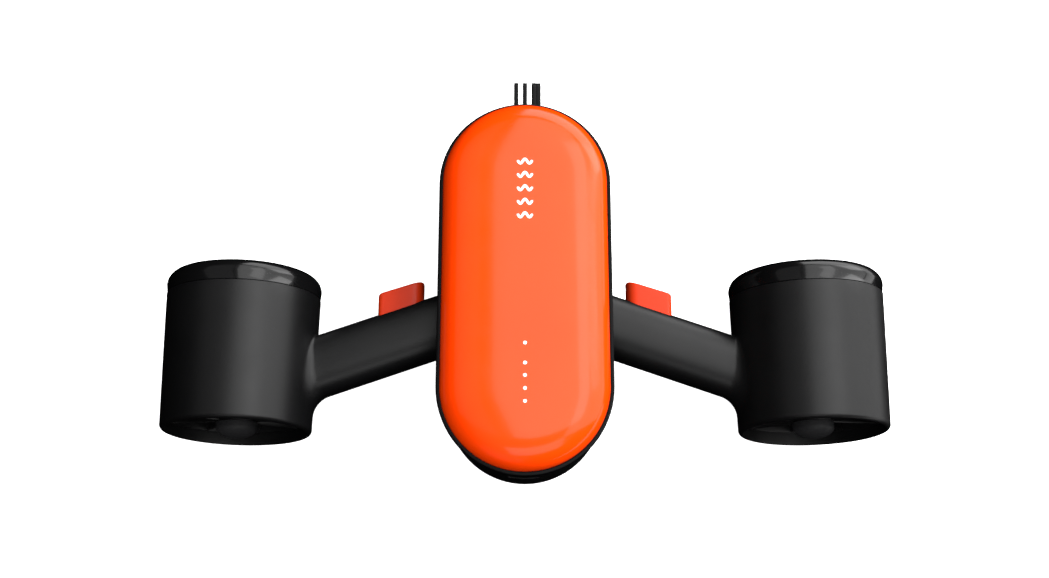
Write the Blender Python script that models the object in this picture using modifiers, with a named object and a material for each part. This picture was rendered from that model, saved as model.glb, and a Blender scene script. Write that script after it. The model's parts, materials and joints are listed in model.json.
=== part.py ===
"""Underwater scooter with two ducted thrusters, built as separate pieces.

Frame: +X to the scooter's right-hand side, +Y to its nose, +Z up. The origin is under the middle
of the overall box, on the surface that the hull's flat belly rests on. Lengths are in metres.

The hull's pieces follow one outline, a stadium: two half circles joined by straight sides. Their
sections are written as (radius, height), radius being the distance out from the stadium's spine.

A thruster's pieces share an origin on the propeller's axis at y = 0 and are turned so that their
local z runs aft, their local x to the right and their local y up. Their sections are written as
(radius, distance aft). Pieces of the left side are mirrored from those of the right side.
"""

import math

import bmesh
import bpy
from mathutils import Matrix, Vector

# Precision
MERGE = 0.000002         # merge distance of every modifier and weld
GAP = 0.0003             # gap between two pieces that touch on the real object

# Steps round a curve
HALF_TURN_STEPS = 10     # a half circle of the hull's outline
DUCT_STEPS = 24
HUB_STEPS = 16
SMALL_STEPS = 10
SECTION_STEPS = 8        # half of an arm's section

# Hull outline and heights
NOSE_CENTRE = 0.0570     # y of the front half circle's centre
TAIL_CENTRE = -0.0823
HULL_MIDDLE = (NOSE_CENTRE + TAIL_CENTRE) / 2
TUB_FOOT = 0.0545        # outer radius where the wall starts
TUB_MOUTH = 0.0569       # outer radius at the tub's top edge
TUB_ROUNDING = 0.0160
TUB_TOP = 0.0835
TUB_WALL = 0.0030
RIM_OUTER = 0.0578
RIM_INNER = 0.0555
RIM_SKIRT_OUTER = 0.0534
RIM_SKIRT_INNER = 0.0515
RIM_FOOT = 0.0815
RIM_BOTTOM = 0.0850
RIM_LEDGE = 0.0860
RIM_TOP = 0.0902
RIM_EDGE = 0.0006        # the bevel of its outer edge
GASKET_INNER = 0.0543
GASKET_OUTER = 0.0567
COVER_RADIUS = 0.0552
COVER_BOTTOM = 0.0905
COVER_TOP = 0.1090
COVER_FLANK = 0.0170     # width of the rounded flank
COVER_CROWN = 0.0020     # rise of the top from the flank to the spine
COVER_WALL = 0.0025

# Push latch in the tail wall
LATCH_HALF_WIDTH = 0.0110
LATCH_FRONT = -0.1374    # y of the button's face
LATCH_DEPTH = 0.0054
LATCH_MIDDLE_Z = 0.0630
LATCH_HALF_HEIGHT = 0.0050
LATCH_FLANGE = 0.0020    # how far the flange reaches past the button on its two sides
LATCH_FLANGE_RISE = 0.0015
LATCH_STEM_HALF_WIDTH = 0.0060
LATCH_STEM_HALF_HEIGHT = 0.0030
LATCH_STEM_END = -0.1270
WINDOW_MARGIN = 0.0004

# Battery pack
TRAY_OUTER = 0.0385
TRAY_INNER = 0.0360
TRAY_BOTTOM = 0.0615
TRAY_FLOOR = 0.0640
TRAY_FLANGE = 0.0550
TRAY_FLANGE_BOTTOM = 0.0882
TRAY_TOP = 0.0898
TRAY_CORNER = 0.0040
TRAY_INNER_CORNER = 0.0030
SEAL_INNER = 0.0520
SEAL_OUTER = 0.0545
CELL_RADIUS = 0.0105
CELL_LENGTH = 0.0702
CELL_HEIGHT = 0.0760
CELL_PITCH = 0.0224
CELL_ROW_GAP = 0.0040
LIGHT_PLACES = (-0.0582, -0.0711, -0.0791, -0.0874, -0.0956)
LIGHT_RADIUS = 0.00135
LIGHT_HOLE_RADIUS = 0.00165
LIGHT_POST_DROP = 0.0004                 # the posts end this far below the cover's top
GUIDE_HALF_WIDTH = 0.0030
GUIDE_BOTTOM = 0.0990
GUIDE_TOP = 0.1010
GUIDE_OVERHANG = 0.0035                  # the bar runs this far past its outer posts
MANAGEMENT_BOARD = ((-0.0130, -0.1030, 0.0970), (0.0130, -0.0500, 0.0986))

# Electronics
BOX_SIZE = (0.0680, 0.1000, 0.0290)
BOX_CENTRE_Y = -0.0120
BOX_BOTTOM = 0.0036
BOX_WALL = 0.0020
LID_THICKNESS = 0.0020
BOARD_SIZE = (0.0540, 0.0840, 0.0016)
BOARD_LIFT = 0.0040                      # from the box's floor
SOCKET_SIZE = (0.0280, 0.0180)
SOCKET_TOP = 0.0576
CONTACT_OFFSET = 0.0065
CONTACT_SLOT = (0.0030, 0.0100)
SLOT_FOOT = 0.0500
TERMINAL_SIZE = (0.0200, 0.0120)
TERMINAL_BOTTOM = 0.0581
LEAD_RADIUS = 0.0020
LEAD_HOLE_RADIUS = 0.0025
PASSAGE_RADIUS = 0.0037                  # the lead's way through the hub's front wall
DUCT_LEAD_HOLE_RADIUS = 0.0035           # wider, because the lead crosses the duct's wall at a slant
LEAD_ENTRY = (0.0310, -0.0300, 0.0270)   # where a lead enters the box, right side

# Arms, right side
THRUSTER_X = 0.1929
THRUSTER_Z = 0.0530
ARM_ROOT_X = 0.0460
ARM_END_RADIUS = 0.0485  # the arm ends in the duct's wall, at this radius from the thruster's axis
ARM_MIDDLE_X = 0.0620
ARM_MIDDLE_Y = -0.0355   # centre of the arm's section at ARM_MIDDLE_X
ARM_SWEEP = 0.347        # how far back the arm runs for each metre out
ARM_HALF_CHORD = 0.0222
ARM_HALF_HEIGHT = 0.0160
ARM_SQUARENESS = 2.5     # exponent of the section's superellipse
ARM_WALL = 0.0025
ARM_FLARE_START = 0.83   # share of the arm's length where it starts to widen into the duct
ARM_FLARE_REAR = 0.0070
ARM_FLARE_FRONT = 0.0010
ARM_FLARE_HEIGHT = 0.0045
ARM_SHARES = (0.0, 0.16, 0.5, ARM_FLARE_START, 0.90, 0.95, 0.98, 1.0)
SEAL_X = 0.0497          # middle of the rubber ring round the arm's root
SEAL_THICKNESS = 0.0024
SEAL_GROW_INNER = 0.0010
SEAL_GROW_OUTER = 0.0030

# Triggers, right side
TRIGGER_INNER_X = 0.0692
TRIGGER_OUTER_X = 0.1000
TRIGGER_FRONT_INNER = -0.0021            # y of the slanted front at the inner side
TRIGGER_FRONT_OUTER = -0.0112
TRIGGER_BACK = -0.0345
TRIGGER_HALF_HEIGHT = 0.0090
TRIGGER_ROUNDING = 0.0030
SLOT_MARGIN = 0.0004
FLANGE_OVERHANG = 0.0031                 # the flange reaches this far past the trigger's sides
FLANGE_THICKNESS = 0.0024
FLANGE_HALF_HEIGHT = 0.0050
SENSOR_X = 0.0950
SENSOR_HALF_WIDTH = 0.0020
MAGNET_DEPTH = 0.0030
SENSOR_DEPTH = 0.0020
SENSOR_LIFT = 0.0006                     # from the arm's middle plane
SENSOR_HEIGHT = 0.0040
RIB_THICKNESS = 0.0026
RIB_INNER = 0.0060                       # the rib's reach to each side of the spring
RIB_OUTER = 0.0130
RIB_HEIGHT = 0.0140
SPRING_X = 0.0850
SPRING_RADIUS = 0.0039
SPRING_WIRE = 0.0005
SPRING_BACK = -0.0560
SPRING_TURNS = 4

# Thrusters, distances aft of the axis origin
GUARD_FRONT = -0.0009
GUARD_BACK = 0.0144
DUCT_FRONT = 0.0147
DUCT_BACK = 0.1086
DUCT_ROUNDING_START = 0.0998
DUCT_OUTER_FRONT = 0.0521                # outer radius at the guard's front
DUCT_TAPER = 0.0219                      # loss of radius for each metre aft
DUCT_LIP_RADIUS = 0.0469
DUCT_BORE = 0.0465
GUARD_ROUNDING = 0.0102
GRILLE_FRONT = 0.0020
GRILLE_BACK = 0.0050
GRILLE_RADIUS = 0.0430
GRILLE_BARS = 6
GRILLE_BAR_HALF_WIDTH = 0.0009
GRILLE_ZONES = ((0.0080, 0.0180, 1), (0.0196, 0.0300, 2), (0.0316, 0.0412, 2))
OUTLET_TILT = math.radians(2.19)         # the outlet's top lies in front of its foot
OUTLET_MIDDLE = 0.1068
STATOR_FRONT = 0.0760
STATOR_BACK = 0.1000
STATOR_OUTER = 0.0462
STATOR_RING_INNER = 0.0448
HUB_RADIUS = 0.0200
HUB_BORE = 0.0175
VANE_COUNT = 8
VANE_START = math.radians(-8)
VANE_HALF_WIDTH = 0.0011
PYLON_ANGLE = math.radians(172)          # the vane that carries the motor lead
PYLON_HALF_WIDTH = 0.0042
LEAD_AFT = 0.0795
SHAFT_RADIUS = 0.0029
SHAFT_BORE = 0.0032
MOUNT_BORE = 0.0047
SLEEVE_RADIUS = 0.0062
SLEEVE_FRONT = 0.0484
HUB_WALL_RADIUS = 0.0190
HUB_WALL_FRONT = 0.0740
HUB_WALL_BACK = 0.0770
PASSAGE_OFFSET = 0.0103
BEARING_OUTER = 0.0044
FRONT_BEARING = (0.0488, 0.0528)
REAR_BEARING = (0.0724, 0.0764)
SHAFT_ENDS = (0.0209, 0.0785)
WINDING = (0.0500, 0.0680)               # the motor stator and the magnets have the same ends
STATOR_TEETH = 12
TOOTH = ((0.0095, -0.13), (0.0164, -0.17), (0.0164, 0.17), (0.0095, 0.13))
WINDING_BORE = 0.0066
MAGNET_INNER = 0.0169
MAGNET_OUTER = 0.0181
CAN_INNER = 0.0184
CAN_OUTER = 0.0196
CAN_FRONT = 0.0453
CAN_WALL_BACK = 0.0476
CAN_BACK = 0.0720
CONE_FRONT = 0.1003
CONE_FLANGE = 0.0015
CONE_SHOULDER = 0.1036
CONE_RADIUS = 0.0136
CONE_TIP = 0.1108
CONE_WALL = 0.0022
PROPELLER_PITCH = 0.0950                 # advance in one turn
PROPELLER_TIP = 0.0443
PROPELLER_ROOT = 0.0120
PROPELLER_MIDDLE = 0.0364
PROPELLER_BLADES = 3
BLADE_CHORD = 0.0136
BLADE_BELLY = 0.0185
BLADE_SWEEP = 0.0060                     # how far a blade's tip trails
BLADE_THICKNESS = 0.0020
HUB_PROFILE = ((0.0150, 0.0450), (0.0148, 0.0360), (0.0126, 0.0273))
NUT_BASE = 0.0270
NUT_TIP = 0.0160
NUT_RADIUS = 0.0122
NUT_BLIND_END = 0.0205

# Camera mount
FINGER_THICKNESS = 0.0031
FINGER_PITCH = 0.0062
PIVOT_Y = 0.1326
PIVOT_Z = 0.0680
FINGER_RADIUS = 0.0075
PIVOT_HOLE_RADIUS = 0.0026
MOUNT_BACK = 0.1141
MOUNT_FRONT = 0.1185
MOUNT_HALF_WIDTH = 0.0100
MOUNT_HALF_HEIGHT = 0.0120
BOSS_LENGTH = 0.0034                     # past the outer finger
BOSS_RADIUS = 0.0066
POCKET_DEPTH = 0.0033
POCKET_RADIUS = 0.0050
NUT_CORNER_RADIUS = 0.0046
NUT_BORE_RADIUS = 0.0023

THRUSTER_TURN = Matrix.Rotation(math.pi / 2, 4, "X")
THRUSTER_FRAME = Matrix.Translation((THRUSTER_X, 0, THRUSTER_Z)) @ THRUSTER_TURN
SIDE_FRAME = Matrix(((0, 0, 1, 0), (1, 0, 0, 0), (0, 1, 0, 0), (0, 0, 0, 1)))


# ---------------------------------------------------------------- scene and materials

def clear_scene():
    """Remove every object and every collection of the open scene."""
    for item in list(bpy.data.objects):
        bpy.data.objects.remove(item, do_unlink=True)
    for group in list(bpy.data.collections):
        bpy.data.collections.remove(group)


def make_collection(name):
    group = bpy.data.collections.new(name)
    bpy.context.scene.collection.children.link(group)
    return group


def make_material(name, colour, roughness, metallic=0.0):
    material = bpy.data.materials.new(name)
    material.use_nodes = True
    shader = material.node_tree.nodes["Principled BSDF"]
    shader.inputs["Base Color"].default_value = (*colour, 1)
    shader.inputs["Roughness"].default_value = roughness
    shader.inputs["Metallic"].default_value = metallic
    return material


clear_scene()
PARTS = make_collection("underwater_scooter")
CUTTERS = make_collection("cutters")

FINISHES = {
    "orange_shell": make_material("orange_shell", (1.0, 0.15, 0.05), 0.28),
    "orange_trigger": make_material("orange_trigger", (0.85, 0.09, 0.03), 0.35),
    "satin_black": make_material("satin_black", (0.012, 0.012, 0.013), 0.45),
    "gloss_black": make_material("gloss_black", (0.008, 0.008, 0.009), 0.12),
    "black_rubber": make_material("black_rubber", (0.015, 0.015, 0.015), 0.8),
    "grey_plastic": make_material("grey_plastic", (0.09, 0.09, 0.1), 0.5),
    "circuit_board": make_material("circuit_board", (0.01, 0.12, 0.05), 0.5),
    "clear_light_guide": make_material("clear_light_guide", (0.9, 0.9, 0.9), 0.3),
    "stainless_steel": make_material("stainless_steel", (0.55, 0.55, 0.56), 0.25, 1.0),
    "magnet": make_material("magnet", (0.3, 0.3, 0.32), 0.3, 1.0),
    "copper": make_material("copper", (0.7, 0.3, 0.12), 0.4, 1.0),
    "gold_contact": make_material("gold_contact", (0.8, 0.6, 0.25), 0.3, 1.0),
    "lead_jacket": make_material("lead_jacket", (0.02, 0.02, 0.02), 0.6),
    "cell_wrap": make_material("cell_wrap", (0.05, 0.2, 0.45), 0.4),
}


# ---------------------------------------------------------------- modelling helpers

def add_object(name, mesh, finish):
    """Put a mesh in the scene: a piece gets its finish, and a cutter, with no finish, is only a wire."""
    piece = bpy.data.objects.new(name, mesh)
    if finish is None:
        CUTTERS.objects.link(piece)
        piece.hide_render = True
        piece.display_type = "WIRE"
        return piece
    PARTS.objects.link(piece)
    mesh.materials.append(FINISHES[finish])
    mesh.shade_smooth()
    mesh.set_sharp_from_angle(angle=math.radians(35))
    return piece


def mesh_from(editor, name, recalculate=True):
    """Write an edited bmesh to a new mesh, as a rule with its faces turned to point out."""
    bmesh.ops.remove_doubles(editor, verts=editor.verts, dist=MERGE)
    if recalculate:
        bmesh.ops.recalc_face_normals(editor, faces=editor.faces)
    mesh = bpy.data.meshes.new(name)
    editor.to_mesh(mesh)
    editor.free()
    return mesh


def solidify(piece, thickness):
    """Give an open skin its wall on the inner side."""
    modifier = piece.modifiers.new("wall", "SOLIDIFY")
    modifier.thickness = thickness
    modifier.offset = -1
    modifier.use_even_offset = True


def bevel(piece, width, segments=1):
    modifier = piece.modifiers.new("rounding", "BEVEL")
    modifier.width = width
    modifier.segments = segments
    modifier.limit_method = "ANGLE"
    modifier.angle_limit = math.radians(40)


def combine(piece, other, operation):
    """Add a Boolean modifier with the EXACT solver."""
    modifier = piece.modifiers.new(other.name, "BOOLEAN")
    modifier.operation = operation
    modifier.solver = "EXACT"
    modifier.object = other


def settled_mesh(source, name):
    """The mesh of an object as its modifiers or its curve settings make it, welded and closed."""
    evaluated = source.evaluated_get(bpy.context.evaluated_depsgraph_get())
    editor = bmesh.new()
    evaluated_mesh = bpy.data.meshes.new_from_object(evaluated)
    editor.from_mesh(evaluated_mesh)
    return mesh_from(editor, name)


def curve_piece(name, curve, finish, frame):
    """Make a curve into a mesh piece placed by a frame."""
    guide = bpy.data.objects.new(name + "_curve", curve)
    CUTTERS.objects.link(guide)
    mesh = settled_mesh(guide, name)
    bpy.data.objects.remove(guide, do_unlink=True)
    piece = add_object(name, mesh, finish)
    piece.matrix_world = frame
    return piece


def box(name, low, high, finish, rounding=0.0):
    """A cube primitive between two corners."""
    bpy.ops.mesh.primitive_cube_add(size=1)
    cube = bpy.context.object
    mesh = cube.data
    bpy.data.objects.remove(cube, do_unlink=True)
    low, high = Vector(low), Vector(high)
    mesh.transform(Matrix.Diagonal((*(high - low), 1)))
    piece = add_object(name, mesh, finish)
    piece.location = (low + high) / 2
    if rounding:
        bevel(piece, rounding)
    return piece


def centred_box(name, middle_y, size, bottom, top, finish, rounding=0.0):
    """A box of a given width and length, centred on the YZ plane and on a y, between two heights."""
    half_x, half_y = size[0] / 2, size[1] / 2
    low, high = (-half_x, middle_y - half_y, bottom), (half_x, middle_y + half_y, top)
    return box(name, low, high, finish, rounding)


def rod(name, start, end, radius, finish, steps=SMALL_STEPS):
    """A cylinder primitive between two points."""
    start, end = Vector(start), Vector(end)
    bpy.ops.mesh.primitive_cylinder_add(vertices=steps, radius=radius, depth=(end - start).length)
    cylinder = bpy.context.object
    mesh = cylinder.data
    bpy.data.objects.remove(cylinder, do_unlink=True)
    piece = add_object(name, mesh, finish)
    piece.location = (start + end) / 2
    piece.rotation_mode = "QUATERNION"
    piece.rotation_quaternion = (end - start).to_track_quat("Z", "Y")
    return piece


def turned(name, profile, finish, steps=DUCT_STEPS, ring=True):
    """Turn a profile of (radius, distance along the axis) with a Screw modifier."""
    mesh = bpy.data.meshes.new(name)
    edges = [(index, index + 1) for index in range(len(profile) - 1)]
    if ring:
        edges.append((len(profile) - 1, 0))
    mesh.from_pydata([(radius, 0, along) for radius, along in profile], edges, [])
    piece = add_object(name, mesh, finish)
    screw = piece.modifiers.new("turn", "SCREW")
    screw.steps = steps
    screw.render_steps = steps
    screw.use_merge_vertices = True
    screw.merge_threshold = MERGE
    piece.matrix_world = THRUSTER_FRAME
    return piece


def extruded_edges(editor, edges, offset):
    """Extrude edges by an offset and return the new edges."""
    made = bmesh.ops.extrude_edge_only(editor, edges=edges)["geom"]
    verts = [item for item in made if isinstance(item, bmesh.types.BMVert)]
    bmesh.ops.translate(editor, verts=verts, vec=offset)
    return [item for item in made if isinstance(item, bmesh.types.BMEdge)]


def spun_edges(editor, edges, centre_y):
    """Spin edges half a turn about a vertical axis on the hull's spine and return the last ones."""
    verts = list({vert for edge in edges for vert in edge.verts})
    spun = bmesh.ops.spin(
        editor, geom=verts + edges, cent=(0, centre_y, 0), axis=(0, 0, 1),
        angle=math.pi, steps=HALF_TURN_STEPS, dvec=(0, 0, 0), use_duplicate=False,
    )
    return [item for item in spun["geom_last"] if isinstance(item, bmesh.types.BMEdge)]


def swept(name, section, finish, ring=True):
    """Sweep a section of (radius, height) round the hull's stadium outline."""
    editor = bmesh.new()
    verts = [editor.verts.new((radius, TAIL_CENTRE, height)) for radius, height in section]
    pairs = list(zip(verts, verts[1:]))
    if ring:
        pairs.append((verts[-1], verts[0]))
    edges = [editor.edges.new(pair) for pair in pairs]
    straight = NOSE_CENTRE - TAIL_CENTRE
    right_side = extruded_edges(editor, edges, (0, straight, 0))
    nose = spun_edges(editor, right_side, NOSE_CENTRE)
    left_side = extruded_edges(editor, nose, (0, -straight, 0))
    spun_edges(editor, left_side, TAIL_CENTRE)
    return add_object(name, mesh_from(editor, name), finish)


def plate(name, outlines, thickness, finish, frame):
    """A flat outline, with any holes, as a filled 2D curve extruded to both sides of its plane."""
    curve = bpy.data.curves.new(name, "CURVE")
    curve.dimensions = "2D"
    curve.fill_mode = "BOTH"
    curve.extrude = thickness / 2
    for outline in outlines:
        add_spline(curve, [(across, up, 0) for across, up in outline], closed=True)
    return curve_piece(name, curve, finish, frame)


def tube(name, points, radius, finish):
    """A round wire along a line of points."""
    curve = bpy.data.curves.new(name, "CURVE")
    curve.dimensions = "3D"
    curve.bevel_depth = radius
    curve.bevel_resolution = 2
    curve.use_fill_caps = True
    add_spline(curve, points, closed=False)
    return curve_piece(name, curve, finish, Matrix.Identity(4))


def add_spline(curve, points, closed):
    spline = curve.splines.new("POLY")
    spline.points.add(len(points) - 1)
    for place, point in zip(spline.points, points):
        place.co = (*point, 1)
    spline.use_cyclic_u = closed


def loft(name, rings, finish, closed=False):
    """Skin a row of matching rings of points; a closed loft also gets its two end faces.

    The rings run anticlockwise as seen from the last one, so an open skin's faces point out.
    """
    editor = bmesh.new()
    rows = [[editor.verts.new(point) for point in ring] for ring in rings]
    count = len(rows[0])
    for near, far in zip(rows, rows[1:]):
        for index in range(count if closed else count - 1):
            following = (index + 1) % count
            editor.faces.new((near[index], near[following], far[following], far[index]))
    if closed:
        editor.faces.new(rows[0])
        editor.faces.new(rows[-1])
    return add_object(name, mesh_from(editor, name, recalculate=closed), finish)


def arc(centre, radii, start, end, steps):
    """Points of an elliptic arc; the angles are in degrees."""
    points = []
    for index in range(steps + 1):
        angle = math.radians(start + (end - start) * index / steps)
        points.append((centre[0] + radii[0] * math.cos(angle), centre[1] + radii[1] * math.sin(angle)))
    return points


def circle(radius, steps):
    return arc((0, 0), (radius, radius), 0, 360, steps)[:-1]


def sector(inner, outer, start, end, start_half, end_half, steps):
    """Outline of the opening between two radial bars, whose half widths are given."""
    outline = []
    for radius, order in ((inner, 1), (outer, -1)):
        first = start + math.asin(start_half / radius)
        last = end - math.asin(end_half / radius)
        angles = [first + (last - first) * index / steps for index in range(steps + 1)]
        for angle in angles[::order]:
            outline.append((radius * math.cos(angle), radius * math.sin(angle)))
    return outline


def mirrored(source, name):
    """The left-hand twin of a right-hand piece or cutter, on the other side of the YZ plane."""
    flip = Matrix.Scale(-1, 4, (1, 0, 0))
    mesh = settled_mesh(source, name)
    mesh.transform(flip)
    mesh.flip_normals()
    finish = source.data.materials[0].name if source.data.materials else None
    mesh.materials.clear()
    twin = add_object(name, mesh, finish)
    twin.matrix_world = flip @ source.matrix_world @ flip
    return twin


def thruster_point(radius, angle, aft):
    """A point of the right thruster, in the scooter's frame."""
    across = THRUSTER_X + radius * math.cos(angle)
    return (across, -aft, THRUSTER_Z + radius * math.sin(angle))


# ---------------------------------------------------------------- hull

def duct_radius(aft):
    """The duct's outer radius, which narrows aft."""
    return DUCT_OUTER_FRONT - DUCT_TAPER * (aft - GUARD_FRONT)


def signed_power(value, exponent):
    return math.copysign(abs(value) ** exponent, value)


def arm_point(share, angle, grow=0.0, drop=0.0):
    """A point of the arm's skin: share 0 is in the hull and 1 in the duct's wall.

    The skin can be grown outwards, and dropped from the arm's middle plane on its lower half.
    """
    turn = min(1.0, max(0.0, (share - ARM_FLARE_START) / (1 - ARM_FLARE_START)))
    flare = 1 - math.sqrt(1 - turn * turn)
    power = 2 / ARM_SQUARENESS
    half_height = ARM_HALF_HEIGHT + ARM_FLARE_HEIGHT * flare + grow - drop
    height = half_height * signed_power(math.sin(angle), power)
    end_x = THRUSTER_X - math.sqrt(ARM_END_RADIUS ** 2 - height ** 2)
    x = ARM_ROOT_X + share * (end_x - ARM_ROOT_X)
    across = signed_power(math.cos(angle), power)
    edge_flare = ARM_FLARE_FRONT if across > 0 else ARM_FLARE_REAR
    half_chord = ARM_HALF_CHORD + edge_flare * flare + grow
    y = ARM_MIDDLE_Y - ARM_SWEEP * (x - ARM_MIDDLE_X) + half_chord * across
    return (x, y, THRUSTER_Z - drop + height)


def arm_ring(share, start, end, steps, **offsets):
    """One section of the arm; the angles are in degrees."""
    angles = [start + (end - start) * index / steps for index in range(steps + 1)]
    return [arm_point(share, math.radians(angle), **offsets) for angle in angles]


def arm_half_ring(share, start, **offsets):
    """Half a section, with short first and last steps that keep the skin upright at the split."""
    split_step = 3
    between = arm_ring(share, start + split_step, start + 180 - split_step, SECTION_STEPS, **offsets)
    first = arm_point(share, math.radians(start), **offsets)
    last = arm_point(share, math.radians(start + 180), **offsets)
    return [first] + between + [last]


def arm_root_cutter():
    """A body a little larger than the arm, which opens the tub's side for it."""
    rings = [arm_ring(share, 0, 360, 2 * SECTION_STEPS, grow=GAP)[:-1] for share in (-0.02, 0.3)]
    return loft("arm_root_cutter", rings, None, closed=True)


def hull_tub(arm_cutters):
    """The black tub: flat belly, rounded foot and drafted wall."""
    foot = (TUB_FOOT - TUB_ROUNDING, TUB_ROUNDING)
    skin = [(0, 0)] + arc(foot, (TUB_ROUNDING, TUB_ROUNDING), -90, 0, 4) + [(TUB_MOUTH, TUB_TOP)]
    tub = swept("hull_tub", skin, "satin_black", ring=False)
    solidify(tub, TUB_WALL)
    for cutter in arm_cutters:
        combine(tub, cutter, "DIFFERENCE")
    reach = LATCH_HALF_HEIGHT + WINDOW_MARGIN
    half_width = LATCH_HALF_WIDTH + WINDOW_MARGIN
    window = box("latch_window_cutter", (-half_width, -0.1450, LATCH_MIDDLE_Z - reach),
                 (half_width, -0.1300, LATCH_MIDDLE_Z + reach), None)
    combine(tub, window, "DIFFERENCE")


def hull_rim():
    """The gloss ring round the battery cover, with the ledge that the pack's seal sits on."""
    swept("hull_rim", [
        (RIM_OUTER, RIM_BOTTOM), (RIM_OUTER, RIM_TOP - RIM_EDGE), (RIM_OUTER - RIM_EDGE, RIM_TOP),
        (RIM_INNER, RIM_TOP), (RIM_INNER, RIM_LEDGE), (RIM_SKIRT_INNER, RIM_LEDGE),
        (RIM_SKIRT_INNER, RIM_FOOT), (RIM_SKIRT_OUTER, RIM_FOOT), (RIM_SKIRT_OUTER, RIM_BOTTOM),
    ], "gloss_black")


def rectangle(inner, outer, bottom, top):
    return [(inner, bottom), (outer, bottom), (outer, top), (inner, top)]


def hull_gasket():
    section = rectangle(GASKET_INNER, GASKET_OUTER, TUB_TOP + GAP, RIM_BOTTOM - GAP)
    swept("hull_gasket", section, "black_rubber")


def electronics():
    """The sealed electronics box on the tub's floor, with its lid, board and power socket."""
    half_x, half_y, height = BOX_SIZE[0] / 2, BOX_SIZE[1] / 2, BOX_SIZE[2]
    top = BOX_BOTTOM + height
    casing = box("electronics_box", (-half_x, BOX_CENTRE_Y - half_y, BOX_BOTTOM),
                 (half_x, BOX_CENTRE_Y + half_y, top), "grey_plastic")
    inner_x, inner_y = half_x - BOX_WALL, half_y - BOX_WALL
    hollow = box("box_hollow_cutter", (-inner_x, BOX_CENTRE_Y - inner_y, BOX_BOTTOM + BOX_WALL),
                 (inner_x, BOX_CENTRE_Y + inner_y, top + BOX_WALL), None)
    combine(casing, hollow, "DIFFERENCE")
    entry_y, entry_z = LEAD_ENTRY[1], LEAD_ENTRY[2]
    entry = rod("lead_entry_cutter", (-0.05, entry_y, entry_z), (0.05, entry_y, entry_z),
                LEAD_HOLE_RADIUS, None)
    combine(casing, entry, "DIFFERENCE")
    lid_top = top + GAP + LID_THICKNESS
    box("electronics_lid", (-half_x, BOX_CENTRE_Y - half_y, top + GAP),
        (half_x, BOX_CENTRE_Y + half_y, lid_top), "grey_plastic", 0.0006)
    board_bottom = BOX_BOTTOM + BOX_WALL + BOARD_LIFT
    board_top = board_bottom + BOARD_SIZE[2]
    centred_box("controller_board", BOX_CENTRE_Y, BOARD_SIZE[:2], board_bottom, board_top, "circuit_board")
    socket = centred_box("power_socket", HULL_MIDDLE, SOCKET_SIZE, lid_top + GAP, SOCKET_TOP,
                         "grey_plastic", 0.0012)
    for index, side in enumerate((-1, 1)):
        slot = centred_box(f"socket_slot_cutter_{index}", HULL_MIDDLE, CONTACT_SLOT, SLOT_FOOT,
                           SOCKET_TOP + LID_THICKNESS, None)
        slot.location.x = side * CONTACT_OFFSET
        combine(socket, slot, "DIFFERENCE")


def battery_latch():
    """Push latch in the tail wall, with a flange behind the wall and a stem for its spring."""
    back = LATCH_FRONT + LATCH_DEPTH
    latch = box("battery_latch", (-LATCH_HALF_WIDTH, LATCH_FRONT, LATCH_MIDDLE_Z - LATCH_HALF_HEIGHT),
                (LATCH_HALF_WIDTH, back, LATCH_MIDDLE_Z + LATCH_HALF_HEIGHT), "satin_black")
    bevel(latch, 0.0006)
    half_width = LATCH_HALF_WIDTH + LATCH_FLANGE
    half_height = LATCH_HALF_HEIGHT + LATCH_FLANGE_RISE
    flange = box("latch_flange_body", (-half_width, back - 0.0011, LATCH_MIDDLE_Z - half_height),
                 (half_width, back + 0.0006, LATCH_MIDDLE_Z + half_height), None)
    stem = box("latch_stem_body",
               (-LATCH_STEM_HALF_WIDTH, back, LATCH_MIDDLE_Z - LATCH_STEM_HALF_HEIGHT),
               (LATCH_STEM_HALF_WIDTH, LATCH_STEM_END, LATCH_MIDDLE_Z + LATCH_STEM_HALF_HEIGHT), None)
    combine(latch, flange, "UNION")
    combine(latch, stem, "UNION")


def finger_outline():
    """Side view of one camera mount finger, as (y, z)."""
    tip = arc((PIVOT_Y, PIVOT_Z), (FINGER_RADIUS, FINGER_RADIUS), -90, 90, 6)
    root = MOUNT_BACK + 0.0015
    return [(root, PIVOT_Z - FINGER_RADIUS)] + tip + [(root, PIVOT_Z + FINGER_RADIUS)]


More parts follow.
